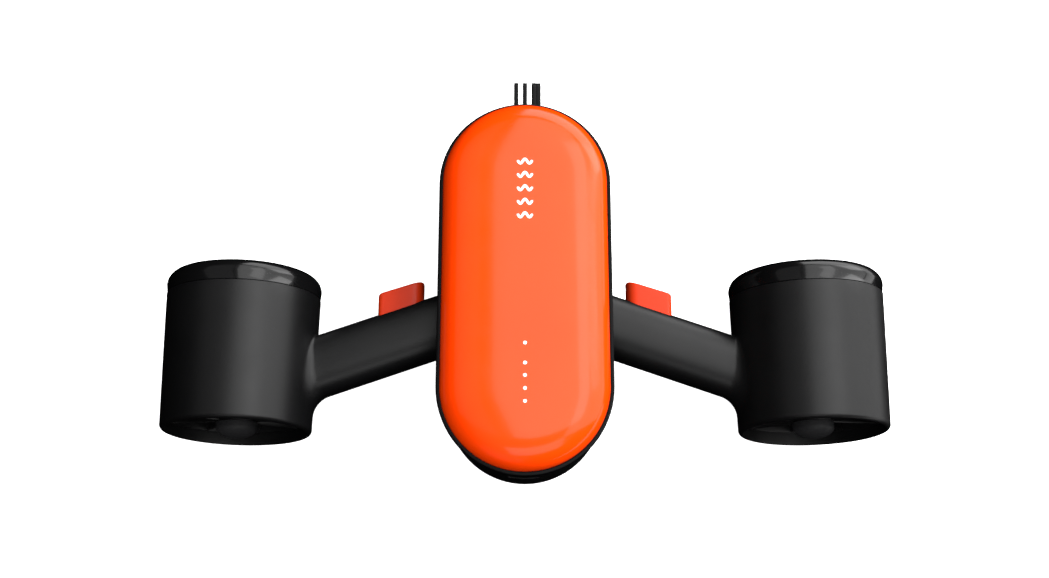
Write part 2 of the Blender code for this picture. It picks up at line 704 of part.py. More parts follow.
def camera_mount():
    """Action-camera mount: three pierced fingers on a base plate, with a pocket for the nut."""
    base = box("camera_mount", (-MOUNT_HALF_WIDTH, MOUNT_BACK, PIVOT_Z - MOUNT_HALF_HEIGHT),
               (MOUNT_HALF_WIDTH, MOUNT_FRONT, PIVOT_Z + MOUNT_HALF_HEIGHT), "satin_black", 0.0012)
    for index in (-1, 0, 1):
        finger_frame = Matrix.Translation((index * FINGER_PITCH, 0, 0)) @ SIDE_FRAME
        finger = plate(f"finger_body_{index + 1}", [finger_outline()], FINGER_THICKNESS, None, finger_frame)
        combine(base, finger, "UNION")
    boss_end = FINGER_PITCH + FINGER_THICKNESS / 2 + BOSS_LENGTH
    boss = rod("nut_boss_body", (FINGER_PITCH, PIVOT_Y, PIVOT_Z), (boss_end, PIVOT_Y, PIVOT_Z),
               BOSS_RADIUS, None, 12)
    combine(base, boss, "UNION")
    hole = rod("pivot_cutter", (-0.02, PIVOT_Y, PIVOT_Z), (0.02, PIVOT_Y, PIVOT_Z),
               PIVOT_HOLE_RADIUS, None)
    pocket_start = boss_end - POCKET_DEPTH
    pocket = rod("nut_pocket_cutter", (pocket_start, PIVOT_Y, PIVOT_Z), (0.02, PIVOT_Y, PIVOT_Z),
                 POCKET_RADIUS, None, 6)
    combine(base, hole, "DIFFERENCE")
    combine(base, pocket, "DIFFERENCE")
    nut = rod("camera_mount_nut", (pocket_start + GAP, PIVOT_Y, PIVOT_Z),
              (boss_end - GAP, PIVOT_Y, PIVOT_Z), NUT_CORNER_RADIUS, "stainless_steel", 6)
    bore = rod("nut_bore_cutter", (0, PIVOT_Y, PIVOT_Z), (0.02, PIVOT_Y, PIVOT_Z), NUT_BORE_RADIUS, None)
    combine(nut, bore, "DIFFERENCE")


# ---------------------------------------------------------------- battery pack

def cover_skin():
    """The battery cover's outer section, from its lower edge over the flank to the spine."""
    flank_height = COVER_TOP - COVER_CROWN - COVER_BOTTOM
    shoulder = COVER_RADIUS - COVER_FLANK
    flank = arc((shoulder, COVER_BOTTOM), (COVER_FLANK, flank_height), 0, 84, 5)
    crown = [(shoulder * 0.5, COVER_TOP - COVER_CROWN * 0.25)]
    return flank + crown + [(0, COVER_TOP)]


def battery_cover():
    """The orange shell over the battery pack, with five holes for the battery lights."""
    cover = swept("battery_cover", cover_skin(), "orange_shell", ring=False)
    solidify(cover, COVER_WALL)
    for index, place in enumerate(LIGHT_PLACES):
        cutter = rod(f"light_cutter_{index}", (0, place, COVER_TOP - 0.0060),
                     (0, place, COVER_TOP + 0.0020), LIGHT_HOLE_RADIUS, None, 8)
        combine(cover, cutter, "DIFFERENCE")


def light_guide():
    """A clear bar with a post up to each battery light."""
    back, front = LIGHT_PLACES[-1] - GUIDE_OVERHANG, LIGHT_PLACES[0] + GUIDE_OVERHANG
    guide = box("light_guide", (-GUIDE_HALF_WIDTH, back, GUIDE_BOTTOM),
                (GUIDE_HALF_WIDTH, front, GUIDE_TOP), "clear_light_guide")
    for index, place in enumerate(LIGHT_PLACES):
        post = rod(f"light_post_body_{index}", (0, place, GUIDE_TOP - 0.0005),
                   (0, place, COVER_TOP - LIGHT_POST_DROP), LIGHT_RADIUS, None, 8)
        combine(guide, post, "UNION")


def battery_tray():
    """The pack's lower shell, which hangs in the hull from a flange."""
    swept("battery_tray", [
        (0, TRAY_BOTTOM), (TRAY_OUTER - TRAY_CORNER, TRAY_BOTTOM), (TRAY_OUTER, TRAY_BOTTOM + TRAY_CORNER),
        (TRAY_OUTER, TRAY_FLANGE_BOTTOM), (TRAY_FLANGE, TRAY_FLANGE_BOTTOM), (TRAY_FLANGE, TRAY_TOP),
        (TRAY_INNER, TRAY_TOP), (TRAY_INNER, TRAY_FLOOR + TRAY_INNER_CORNER),
        (TRAY_INNER - TRAY_INNER_CORNER, TRAY_FLOOR), (0, TRAY_FLOOR),
    ], "grey_plastic", ring=False)


def battery_seal():
    section = rectangle(SEAL_INNER, SEAL_OUTER, RIM_LEDGE + GAP, TRAY_FLANGE_BOTTOM - GAP)
    swept("battery_seal", section, "black_rubber")


def cells():
    """Six cylindrical cells, three side by side in two rows end to end."""
    number = 1
    for row in (-1, 1):
        start = HULL_MIDDLE + row * CELL_ROW_GAP / 2
        end = start + row * CELL_LENGTH
        for column in (-1, 0, 1):
            x = column * CELL_PITCH
            rod(f"cell_{number}", (x, start, CELL_HEIGHT), (x, end, CELL_HEIGHT), CELL_RADIUS,
                "cell_wrap", HUB_STEPS)
            number += 1


def battery_pack():
    battery_cover()
    light_guide()
    battery_tray()
    battery_seal()
    cells()
    centred_box("battery_terminal", HULL_MIDDLE, TERMINAL_SIZE, TERMINAL_BOTTOM, TRAY_BOTTOM - GAP,
                "gold_contact", 0.0006)
    box("management_board", *MANAGEMENT_BOARD, "circuit_board")


# ---------------------------------------------------------------- right side: arm and duct

def duct():
    """The duct and the arm's upper half in one moulding, with a rib for the trigger spring.

    The outlet is cut at a slant, so its top lies in front of its foot.
    """
    lip_depth = duct_radius(DUCT_ROUNDING_START) - DUCT_LIP_RADIUS
    rounding = arc((DUCT_LIP_RADIUS, DUCT_ROUNDING_START),
                   (lip_depth, DUCT_BACK - DUCT_ROUNDING_START), 90, 0, 4)
    profile = [(DUCT_BORE, DUCT_FRONT), (DUCT_BORE, DUCT_BACK)] + rounding
    profile.append((duct_radius(DUCT_FRONT), DUCT_FRONT))
    moulding = turned("duct_right", profile, "satin_black")
    reach = 0.06
    outlet = box("outlet_cutter", (THRUSTER_X - reach, -OUTLET_MIDDLE - 0.01, THRUSTER_Z - reach),
                 (THRUSTER_X + reach, -OUTLET_MIDDLE, THRUSTER_Z + reach), None)
    outlet.rotation_euler.x = -OUTLET_TILT
    combine(moulding, outlet, "DIFFERENCE")
    rings = [arm_half_ring(share, 0) for share in ARM_SHARES]
    arm = loft("arm_upper_body", rings, None)
    solidify(arm, ARM_WALL)
    rib_front = SPRING_BACK - SLOT_MARGIN
    rib = box("spring_rib_body",
              (SPRING_X - RIB_INNER, rib_front - RIB_THICKNESS, THRUSTER_Z + SLOT_MARGIN),
              (SPRING_X + RIB_OUTER, rib_front, THRUSTER_Z + RIB_HEIGHT), None)
    combine(arm, rib, "UNION")
    combine(arm, trigger_slot_cutter("upper_slot_cutter"), "DIFFERENCE")
    combine(moulding, arm, "UNION")
    lead_hole = rod("lead_hole_cutter", thruster_point(0.0400, PYLON_ANGLE, LEAD_AFT),
                    thruster_point(0.0530, PYLON_ANGLE, LEAD_AFT), DUCT_LEAD_HOLE_RADIUS, None)
    combine(moulding, lead_hole, "DIFFERENCE")
    return moulding


def trigger_slot_cutter(name):
    """A body a little larger than the trigger, which opens the arm for it."""
    reach = TRIGGER_HALF_HEIGHT + SLOT_MARGIN
    return box(name, (TRIGGER_INNER_X - SLOT_MARGIN, TRIGGER_BACK - 0.0020, THRUSTER_Z - reach),
               (TRIGGER_OUTER_X + SLOT_MARGIN, 0, THRUSTER_Z + reach), None)


def arm_cover():
    """The arm's lower half, a separate cover that ends at the duct."""
    rings = [arm_half_ring(share, -180, drop=GAP) for share in ARM_SHARES]
    cover = loft("arm_cover_right", rings, "satin_black")
    solidify(cover, ARM_WALL)
    combine(cover, trigger_slot_cutter("lower_slot_cutter"), "DIFFERENCE")
    clearance = GAP + 0.0001
    duct_cutter = turned("duct_cutter", [
        (0, DUCT_BACK), (duct_radius(DUCT_BACK) + clearance, DUCT_BACK),
        (duct_radius(0) + clearance, 0), (0, 0),
    ], None, ring=False)
    combine(cover, duct_cutter, "DIFFERENCE")
    return cover


def arm_seal():
    """Rubber ring round the arm's root, inside the tub's side."""
    share = (SEAL_X - ARM_ROOT_X) / (THRUSTER_X - ARM_END_RADIUS - ARM_ROOT_X)
    outlines = []
    for grow in (SEAL_GROW_INNER, SEAL_GROW_OUTER):
        ring = arm_ring(share, 0, 360, 2 * SECTION_STEPS, grow=grow)[:-1]
        outlines.append([(y, z) for _, y, z in ring])
    frame = Matrix.Translation((SEAL_X, 0, 0)) @ SIDE_FRAME
    return plate("arm_seal_right", outlines, SEAL_THICKNESS, "black_rubber", frame)


def smooth_route(points, per_span):
    """Points of a Catmull-Rom curve through a route's own points."""
    route = [Vector(point) for point in points]
    route = [2 * route[0] - route[1]] + route + [2 * route[-1] - route[-2]]
    result = []
    for before, start, end, after in zip(route, route[1:], route[2:], route[3:]):
        for index in range(per_span):
            t = index / per_span
            result.append(0.5 * (2 * start + (end - before) * t
                                 + (2 * before - 5 * start + 4 * end - after) * t ** 2
                                 + (3 * start - before - 3 * end + after) * t ** 3))
    result.append(route[-2])
    return result


def motor_lead():
    """The lead from the electronics box through the arm and the pylon to the motor."""
    route = [
        LEAD_ENTRY, (0.0395, -0.0305, 0.0285), (0.0412, -0.0345, 0.0390), (0.0480, -0.0385, 0.0455),
        (0.0850, -0.0515, 0.0440), (0.1120, -0.0620, 0.0470), (0.1300, -0.0725, 0.0560),
        thruster_point(0.0520, PYLON_ANGLE, LEAD_AFT - 0.0012),
        thruster_point(0.0380, PYLON_ANGLE, LEAD_AFT), thruster_point(0.0140, PYLON_ANGLE, LEAD_AFT),
        thruster_point(0.0104, PYLON_ANGLE, 0.0765), thruster_point(0.0100, PYLON_ANGLE, 0.0685),
    ]
    return tube("motor_lead_right", smooth_route(route, 2), LEAD_RADIUS, "lead_jacket")


# ---------------------------------------------------------------- right side: trigger

def trigger():
    """The orange trigger: a slab with a slanted front, kept in the arm by a flange."""
    outline = [
        (TRIGGER_INNER_X, TRIGGER_BACK), (TRIGGER_OUTER_X, TRIGGER_BACK),
        (TRIGGER_OUTER_X, TRIGGER_FRONT_OUTER), (TRIGGER_INNER_X, TRIGGER_FRONT_INNER),
    ]
    frame = Matrix.Translation((0, 0, THRUSTER_Z))
    slab = plate("trigger_right", [outline], 2 * TRIGGER_HALF_HEIGHT, "orange_trigger", frame)
    bevel(slab, TRIGGER_ROUNDING, 2)
    low = (TRIGGER_INNER_X - FLANGE_OVERHANG, TRIGGER_BACK + 0.0001, THRUSTER_Z - FLANGE_HALF_HEIGHT)
    high = (TRIGGER_OUTER_X + FLANGE_OVERHANG, TRIGGER_BACK + FLANGE_THICKNESS,
            THRUSTER_Z + FLANGE_HALF_HEIGHT)
    flange = box("trigger_flange_body", low, high, None)
    combine(slab, flange, "UNION")
    return slab


def trigger_magnet():
    back = TRIGGER_BACK - GAP
    half = SENSOR_HALF_WIDTH
    return box("trigger_magnet_right", (SENSOR_X - half, back - MAGNET_DEPTH, THRUSTER_Z - half),
               (SENSOR_X + half, back, THRUSTER_Z + half), "magnet")


def hall_sensor():
    low, half = THRUSTER_Z + SENSOR_LIFT, SENSOR_HALF_WIDTH
    return box("hall_sensor_right", (SENSOR_X - half, SPRING_BACK + 0.0001, low),
               (SENSOR_X + half, SPRING_BACK + 0.0001 + SENSOR_DEPTH, low + SENSOR_HEIGHT), "circuit_board")


def trigger_spring():
    """Return spring between the trigger's back and the rib in the arm."""
    steps = 6 * SPRING_TURNS
    front = TRIGGER_BACK - GAP - SPRING_WIRE
    back = SPRING_BACK + SPRING_WIRE
    points = []
    for index in range(steps + 1):
        angle = 2 * math.pi * SPRING_TURNS * index / steps
        y = front + (back - front) * index / steps
        points.append((SPRING_X + SPRING_RADIUS * math.cos(angle), y,
                       THRUSTER_Z + SPRING_RADIUS * math.sin(angle)))
    return tube("trigger_spring_right", points, SPRING_WIRE, "stainless_steel")


# ---------------------------------------------------------------- right side: thruster

def intake_guard():
    """The glossy front ring, with the grille that keeps fingers and weed out of the propeller."""
    middle = DUCT_OUTER_FRONT - GUARD_ROUNDING
    rounding = arc((middle, GUARD_FRONT + GUARD_ROUNDING), (GUARD_ROUNDING, GUARD_ROUNDING), 0, -90, 3)
    profile = [(duct_radius(GUARD_BACK), GUARD_BACK)] + rounding + [
        (0.0405, GUARD_FRONT + 0.0005), (0.0402, 0.0015), (DUCT_BORE - 0.0002, 0.0090),
        (DUCT_BORE - 0.0002, GUARD_BACK),
    ]
    guard = turned("intake_guard_right", profile, "gloss_black")
    openings = []
    for index in range(GRILLE_BARS):
        start = 2 * math.pi * (index - 0.5) / GRILLE_BARS
        end = 2 * math.pi * (index + 0.5) / GRILLE_BARS
        for inner, outer, steps in GRILLE_ZONES:
            openings.append(sector(inner, outer, start, end, GRILLE_BAR_HALF_WIDTH,
                                   GRILLE_BAR_HALF_WIDTH, steps))
    middle_aft = (GRILLE_FRONT + GRILLE_BACK) / 2
    frame = THRUSTER_FRAME @ Matrix.Translation((0, 0, middle_aft))
    grille = plate("grille_body", [circle(GRILLE_RADIUS, DUCT_STEPS)] + openings,
                   GRILLE_BACK - GRILLE_FRONT, None, frame)
    combine(guard, grille, "UNION")
    return guard


def stator_hub():
    """Eight vanes between a hub and a ring, with the motor mount on the hub's front."""
    openings = []
    for index in range(VANE_COUNT):
        start = VANE_START + 2 * math.pi * index / VANE_COUNT
        end = VANE_START + 2 * math.pi * (index + 1) / VANE_COUNT
        halves = []
        for angle in (start, end):
            is_pylon = abs(angle - PYLON_ANGLE) < 0.01
            halves.append(PYLON_HALF_WIDTH if is_pylon else VANE_HALF_WIDTH)
        openings.append(sector(HUB_RADIUS, STATOR_RING_INNER, start, end, *halves, 2))
    outlines = [circle(STATOR_OUTER, DUCT_STEPS), circle(HUB_BORE, HUB_STEPS)] + openings
    frame = THRUSTER_FRAME @ Matrix.Translation((0, 0, (STATOR_FRONT + STATOR_BACK) / 2))
    hub = plate("stator_hub_right", outlines, STATOR_BACK - STATOR_FRONT, "satin_black", frame)
    mount = turned("motor_mount_body", [
        (MOUNT_BORE, HUB_WALL_BACK), (HUB_WALL_RADIUS, HUB_WALL_BACK), (HUB_WALL_RADIUS, HUB_WALL_FRONT),
        (SLEEVE_RADIUS, HUB_WALL_FRONT), (SLEEVE_RADIUS, SLEEVE_FRONT), (MOUNT_BORE, SLEEVE_FRONT),
    ], None, HUB_STEPS)
    combine(hub, mount, "UNION")
    tunnel = rod("lead_tunnel_cutter", thruster_point(0.0080, PYLON_ANGLE, LEAD_AFT),
                 thruster_point(0.0500, PYLON_ANGLE, LEAD_AFT), LEAD_HOLE_RADIUS, None)
    passage = rod("lead_passage_cutter", thruster_point(PASSAGE_OFFSET, PYLON_ANGLE, 0.0700),
                  thruster_point(PASSAGE_OFFSET, PYLON_ANGLE, 0.0800), PASSAGE_RADIUS, None)
    combine(hub, tunnel, "DIFFERENCE")
    combine(hub, passage, "DIFFERENCE")
    return hub


def tail_cone():
    """The round-nosed cap on the hub's back, with a flange that closes the hub."""
    nose = arc((0, CONE_SHOULDER), (CONE_RADIUS, CONE_TIP - CONE_SHOULDER), 90, 0, 4)
    flange = [(CONE_RADIUS, CONE_FRONT + CONE_FLANGE), (HUB_RADIUS, CONE_FRONT + CONE_FLANGE / 2),
              (HUB_RADIUS, CONE_FRONT)]
    bore = CONE_RADIUS - CONE_WALL
    inner = arc((0, CONE_SHOULDER), (bore, CONE_TIP - CONE_SHOULDER - CONE_WALL), 0, 90, 3)
    profile = nose + flange + [(bore, CONE_FRONT)] + inner
    return turned("tail_cone_right", profile, "satin_black", HUB_STEPS, ring=False)


def motor_stator():
    """The wound stator: its teeth stand round the motor mount."""
    outline = []
    for index in range(STATOR_TEETH):
        middle = 2 * math.pi * index / STATOR_TEETH
        for radius, offset in TOOTH:
            angle = middle + offset
            outline.append((radius * math.cos(angle), radius * math.sin(angle)))
    front, back = WINDING
    frame = THRUSTER_FRAME @ Matrix.Translation((0, 0, (front + back) / 2))
    outlines = [outline, circle(WINDING_BORE, SMALL_STEPS)]
    return plate("motor_stator_right", outlines, back - front, "copper", frame)


def ring_piece(name, inner, outer, ends, finish, steps):
    """A plain turned ring; its ends are distances aft."""
    return turned(name, rectangle(inner, outer, ends[1], ends[0]), finish, steps)


def rotor_can():
    """The motor's outer bell, fixed to the shaft by its front wall."""
    return turned("rotor_can_right", [
        (SHAFT_BORE, CAN_FRONT), (SHAFT_BORE, CAN_WALL_BACK), (CAN_INNER, CAN_WALL_BACK),
        (CAN_INNER, CAN_BACK), (CAN_OUTER, CAN_BACK), (CAN_OUTER, CAN_FRONT),
    ], "stainless_steel", HUB_STEPS)


def propeller():
    """Three twisted blades on a turned hub."""
    front, back = HUB_PROFILE[-1][1], HUB_PROFILE[0][1]
    profile = [(SHAFT_BORE, front), (SHAFT_BORE, back)] + list(HUB_PROFILE)
    hub = turned("propeller_right", profile, "satin_black", HUB_STEPS)
    blades = bmesh.new()
    for index in range(PROPELLER_BLADES):
        add_blade(blades, 2 * math.pi * index / PROPELLER_BLADES)
    bodies = add_object("blade_bodies", mesh_from(blades, "blade_bodies"), None)
    bodies.matrix_world = THRUSTER_FRAME
    solidify(bodies, BLADE_THICKNESS)
    combine(hub, bodies, "UNION")
    return hub


def add_blade(editor, start_angle):
    """One blade: a grid whose rows follow the propeller's pitch at their radius."""
    rows, columns = 6, 3
    grid = bmesh.ops.create_grid(editor, x_segments=rows - 1, y_segments=columns - 1, size=0.5)
    for vert in grid["verts"]:
        out, along = vert.co.x + 0.5, vert.co.y
        radius = PROPELLER_ROOT + (PROPELLER_TIP - PROPELLER_ROOT) * out
        chord = BLADE_CHORD + BLADE_BELLY * math.sin(math.pi * (0.1 + 0.8 * out))
        twist = math.atan(PROPELLER_PITCH / (2 * math.pi * radius))
        sweep = BLADE_SWEEP * out * out
        angle = start_angle + (along * chord * math.cos(twist) + sweep) / radius
        aft = PROPELLER_MIDDLE + along * chord * math.sin(twist)
        vert.co = (radius * math.cos(angle), radius * math.sin(angle), aft)


def propeller_nut():
    """The rounded spinner nut in front of the propeller."""
    nose = arc((0, NUT_BASE), (NUT_RADIUS, NUT_TIP - NUT_BASE), 0, 90, 4)
    profile = [(0, NUT_BLIND_END), (SHAFT_BORE, NUT_BLIND_END), (SHAFT_BORE, NUT_BASE)] + nose
    return turned("propeller_nut_right", profile, "satin_black", HUB_STEPS, ring=False)


def motor_shaft():
    front, back = SHAFT_ENDS
    profile = [(0, back), (SHAFT_RADIUS, back), (SHAFT_RADIUS, front), (0, front)]
    return turned("motor_shaft_right", profile, "stainless_steel", SMALL_STEPS, ring=False)


def build_hull():
    right_cutter = arm_root_cutter()
    left_cutter = mirrored(right_cutter, "arm_root_cutter_left")
    hull_tub((right_cutter, left_cutter))
    hull_rim()
    hull_gasket()
    electronics()
    battery_latch()
    camera_mount()


def build_right_side():
    """Every piece of the right side, in a list."""
    return [
        duct(), arm_cover(), arm_seal(), motor_lead(),
        trigger(), trigger_magnet(), hall_sensor(), trigger_spring(),
        intake_guard(), stator_hub(), tail_cone(), motor_stator(),
        ring_piece("front_bearing_right", SHAFT_BORE, BEARING_OUTER, FRONT_BEARING, "stainless_steel",
                   SMALL_STEPS),
        ring_piece("rear_bearing_right", SHAFT_BORE, BEARING_OUTER, REAR_BEARING, "stainless_steel",
                   SMALL_STEPS),
        ring_piece("magnet_ring_right", MAGNET_INNER, MAGNET_OUTER, WINDING, "magnet", HUB_STEPS),
        rotor_can(), propeller(), propeller_nut(), motor_shaft(),
    ]


build_hull()
battery_pack()
for right_piece in build_right_side():
    mirrored(right_piece, right_piece.name.replace("_right", "_left"))
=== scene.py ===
"""Looks of the underwater scooter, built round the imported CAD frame.

Same frame as the CAD: +X to the scooter's right, +Y to its nose, +Z up, in metres. The hull's pieces
follow a stadium outline, and their sections are (radius out from the stadium's spine, height). A
thruster's pieces are turned about its propeller axis, and their sections are (radius, y).
"""
import json
from math import atan, copysign, cos, hypot, pi, radians, sin, sqrt, tan

import bmesh
import bpy
from mathutils import Matrix, Vector


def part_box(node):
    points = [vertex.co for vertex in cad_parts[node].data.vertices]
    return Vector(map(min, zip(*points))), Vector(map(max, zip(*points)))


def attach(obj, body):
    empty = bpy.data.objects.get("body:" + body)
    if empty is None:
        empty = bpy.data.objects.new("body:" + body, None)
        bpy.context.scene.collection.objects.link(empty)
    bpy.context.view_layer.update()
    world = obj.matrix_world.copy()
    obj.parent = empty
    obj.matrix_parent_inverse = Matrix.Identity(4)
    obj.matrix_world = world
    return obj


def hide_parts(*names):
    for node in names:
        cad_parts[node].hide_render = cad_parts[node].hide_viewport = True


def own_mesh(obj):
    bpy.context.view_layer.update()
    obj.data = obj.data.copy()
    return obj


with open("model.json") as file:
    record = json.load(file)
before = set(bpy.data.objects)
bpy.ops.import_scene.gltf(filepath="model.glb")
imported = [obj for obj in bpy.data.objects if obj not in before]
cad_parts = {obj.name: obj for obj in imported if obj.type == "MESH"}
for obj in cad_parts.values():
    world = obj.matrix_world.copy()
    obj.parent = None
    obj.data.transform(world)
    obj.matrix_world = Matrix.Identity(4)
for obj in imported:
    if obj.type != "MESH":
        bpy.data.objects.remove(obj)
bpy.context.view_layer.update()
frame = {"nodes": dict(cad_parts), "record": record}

SIDES = {"right": 1, "left": -1}

# ---------- places, read from the frame

GAP = 0.0003  # clearance between neighbouring pieces
RIM_LOW, RIM_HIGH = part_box("hull_rim")
HULL_R = RIM_HIGH.x
NOSE_Y = RIM_HIGH.y - HULL_R
TAIL_Y = RIM_LOW.y + HULL_R
RIM_TOP = RIM_HIGH.z
GASKET_LOW, GASKET_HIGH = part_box("hull_gasket")
RIM_BOTTOM = GASKET_HIGH.z + GAP
TUB_TOP = GASKET_LOW.z - GAP
TUB_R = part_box("hull_tub")[1].x
COVER_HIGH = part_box("battery_cover")[1]
COVER_R = COVER_HIGH.x
COVER_BASE = RIM_TOP + GAP
COVER_POWER = 4.5  # how square the cover's section is
COVER_SPREAD = 0.55  # crowds the section's points towards the cover's edge
COVER_TOP = COVER_HIGH.z - 0.00015  # room for the lights and the emblem to stand proud

GUARD_LOW, GUARD_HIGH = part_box("intake_guard_right")
AXIS_X = (GUARD_LOW.x + GUARD_HIGH.x) / 2
AXIS_Z = (GUARD_LOW.z + GUARD_HIGH.z) / 2
DUCT_R = (GUARD_HIGH.x - GUARD_LOW.x) / 2
FRONT_Y = GUARD_HIGH.y
SEAM_Y = GUARD_LOW.y
REAR_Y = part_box("duct_right")[0].y
DUCT_TAPER = 0.0219
BORE_R = 0.0465
OUTLET_SLANT = 0.0036  # the outlet's top lies this far in front of its foot
SLANT_LENGTH = 0.0300
HUB_LOW, HUB_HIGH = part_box("stator_hub_right")
STATOR_BACK = HUB_LOW.y
STATOR_FRONT = STATOR_BACK + 0.0260
STATOR_R = BORE_R - GAP
HUB_TAPER = 0.0180  # length over which the hub narrows
CONE_LOW, CONE_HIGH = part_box("tail_cone_right")
HUB_R = (CONE_HIGH.x - CONE_LOW.x) / 2
HUB_END_R = 0.0136  # the hub narrows towards its cap
CAP_TIP = CONE_LOW.y
VANE_START = radians(-8)
VANES = 8

TRIGGER_LOW, TRIGGER_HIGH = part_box("trigger_right")
TRIGGER_IN = TRIGGER_LOW.x + 0.0032  # the trigger's sides, inside its hidden flange
TRIGGER_OUT = TRIGGER_HIGH.x - 0.0030
MOUNT_LOW, MOUNT_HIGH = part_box("camera_mount")
FINGER_R = 0.0075
FINGER_PITCH = 0.0062
FINGER_HALF = 0.00155
LATCH_LOW, LATCH_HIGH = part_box("battery_latch")
BUTTON_HALF = LATCH_HIGH.x - 0.0020  # the latch's button, inside its hidden flange
BUTTON_LOW, BUTTON_HIGH = LATCH_LOW.z + 0.0015, LATCH_HIGH.z - 0.0015

# Arms
ARM_ROOT_X = 0.0460
ARM_MIDDLE_X = 0.0620
ARM_MIDDLE_Y = -0.0355
ARM_SWEEP = 0.347
ARM_HALF_CHORD = 0.0222
ARM_HALF_HEIGHT = 0.0160
ARM_POWER = 2 / 2.5  # a rounded square section
ARM_WALL = 0.0025
ARM_REACH = 0.0820  # from the arm's middle to the duct, across the hull
FILLET_FRONT = 0.0018
FILLET_REAR = 0.0100
BELLY_WELL = (0.0042, 0.0021)  # screw wells: radius and depth
ARM_WELL = (0.0031, 0.0014)


# ---------- mesh helpers

X_AXIS, Y_AXIS, Z_AXIS = range(3)
SMOOTH = 40  # degrees; steeper edges are shaded sharp
MERGE = 0.000002
SAME_POINT = 0.0000001
EDGE_SHARE = 0.48  # the most of an edge that one rounding takes


def plain_object(name, editor, smooth=SMOOTH, recalculate=True):
    """Write an edited mesh to a new object."""
    bmesh.ops.remove_doubles(editor, verts=editor.verts, dist=MERGE)
    if recalculate:
        bmesh.ops.recalc_face_normals(editor, faces=editor.faces)
    mesh = bpy.data.meshes.new(name)
    editor.to_mesh(mesh)
    editor.free()
    mesh.shade_smooth()
    mesh.set_sharp_from_angle(angle=radians(smooth))
    piece = bpy.data.objects.new(name, mesh)
    bpy.context.scene.collection.objects.link(piece)
    return piece


def piece_from(name, editor, body, slot, smooth=SMOOTH, finish=None, recalculate=True):
    """Write an edited mesh to a piece that rides a body, in its slot's finish or its own."""
    piece = plain_object(name, editor, smooth, recalculate)
    piece.data.materials.append(finish or FINISH[slot])
    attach(piece, body)
    return piece


def skin(editor, rows, wrap_rows=False, wrap_columns=False):
    """Quads over rows of points. Faces look outwards when rows run away and columns anticlockwise."""
    made = [[editor.verts.new(point) for point in row] for row in rows]
    row_pairs = list(zip(made, made[1:]))
    if wrap_rows:
        row_pairs.append((made[-1], made[0]))
    for near, far in row_pairs:
        count = len(near)
        for index in range(count if wrap_columns else count - 1):
            following = (index + 1) % count
            corners = []
            for vert in (near[index], near[following], far[following], far[index]):
                if all((vert.co - other.co).length > SAME_POINT for other in corners):
                    corners.append(vert)
            if len(corners) > 2:
                editor.faces.new(corners)
    return made


def rectangle(left, low, right, high):
    """Corners of a rectangle, anticlockwise."""
    return [(left, low), (right, low), (right, high), (left, high)]


def capped_skin(editor, rows):
    """Skin rows of closed loops, and close the first and the last loop with a face."""
    made = skin(editor, rows, wrap_columns=True)
    editor.faces.new(made[0])
    editor.faces.new(made[-1])


def rounded(points, radius, closed=True, steps=4):
    """Round the corners of an outline with one radius, or with one for each corner."""
    radii = list(radius) if hasattr(radius, "__len__") else [radius] * len(points)
    count = len(points)
    result = []
    for index, (corner, size) in enumerate(zip(points, radii)):
        at_end = not closed and index in (0, count - 1)
        corner = Vector(corner)
        if size <= 0 or at_end:
            result.append(tuple(corner))
            continue
        before = Vector(points[index - 1]) - corner
        after = Vector(points[(index + 1) % count]) - corner
        half = before.angle(after) / 2
        most = EDGE_SHARE * min(before.length, after.length)
        reach = min(size / tan(half), most)
        start, end = corner + before.normalized() * reach, corner + after.normalized() * reach
        for step in range(steps + 1):
            share = step / steps
            point = start * (1 - share) ** 2 + corner * 2 * share * (1 - share) + end * share ** 2
            result.append(tuple(point))
    return result


def arc(centre, radii, start, end, steps):
    """Points of an elliptic arc, with its angles in degrees."""
    points = []
    for index in range(steps + 1):
        angle = radians(start + (end - start) * index / steps)
        points.append((centre[0] + radii[0] * cos(angle), centre[1] + radii[1] * sin(angle)))
    return points


def stadium(editor, section, closed=True, arc_steps=40, straight_steps=12):
    """Sweep a section of (radius, height) round the hull's outline."""
    stations = []
    for index in range(straight_steps):
        stations.append((TAIL_Y + (NOSE_Y - TAIL_Y) * index / straight_steps, 0.0))
    for index in range(arc_steps):
        stations.append((NOSE_Y, pi * index / arc_steps))
    for index in range(straight_steps):
        stations.append((NOSE_Y + (TAIL_Y - NOSE_Y) * index / straight_steps, pi))
    for index in range(arc_steps):
        stations.append((TAIL_Y, pi * (1 + index / arc_steps)))
    rows = []
    for centre, angle in stations:
        rows.append([(r * cos(angle), centre + r * sin(angle), z) for r, z in section])
    skin(editor, rows, wrap_rows=True, wrap_columns=closed)


def turned(editor, section, centre, steps, closed=True):
    """Turn a section of (radius, y) about a thruster's axis; centre is (x, z)."""
    rows = []
    for index in range(steps):
        angle = 2 * pi * index / steps
        rows.append([(centre[0] + r * cos(angle), y, centre[1] + r * sin(angle))
                     for r, y in section])
    skin(editor, rows, wrap_rows=True, wrap_columns=closed)


def slab(editor, outline, low, high, axis, edge=0.0, steps=3):
    """Extrude an outline along an axis, with its rims rounded by insets of the outline.

    The outline's two numbers are the other two axes in X, Y, Z order.
    """
    layers = []
    for step in range(steps + 1):
        turn = pi / 2 * step / steps
        layers.append((low + edge * (1 - sin(turn)), edge * (1 - cos(turn))))
    layers.reverse()
    layers += [(low + high - place, inset) for place, inset in reversed(layers)]
    rows = []
    for place, inset in layers:
        ring = []
        for across, up in inset_outline(outline, inset):
            point = [across, up]
            point.insert(axis, place)
            ring.append(tuple(point))
        rows.append(ring)
    capped_skin(editor, rows)


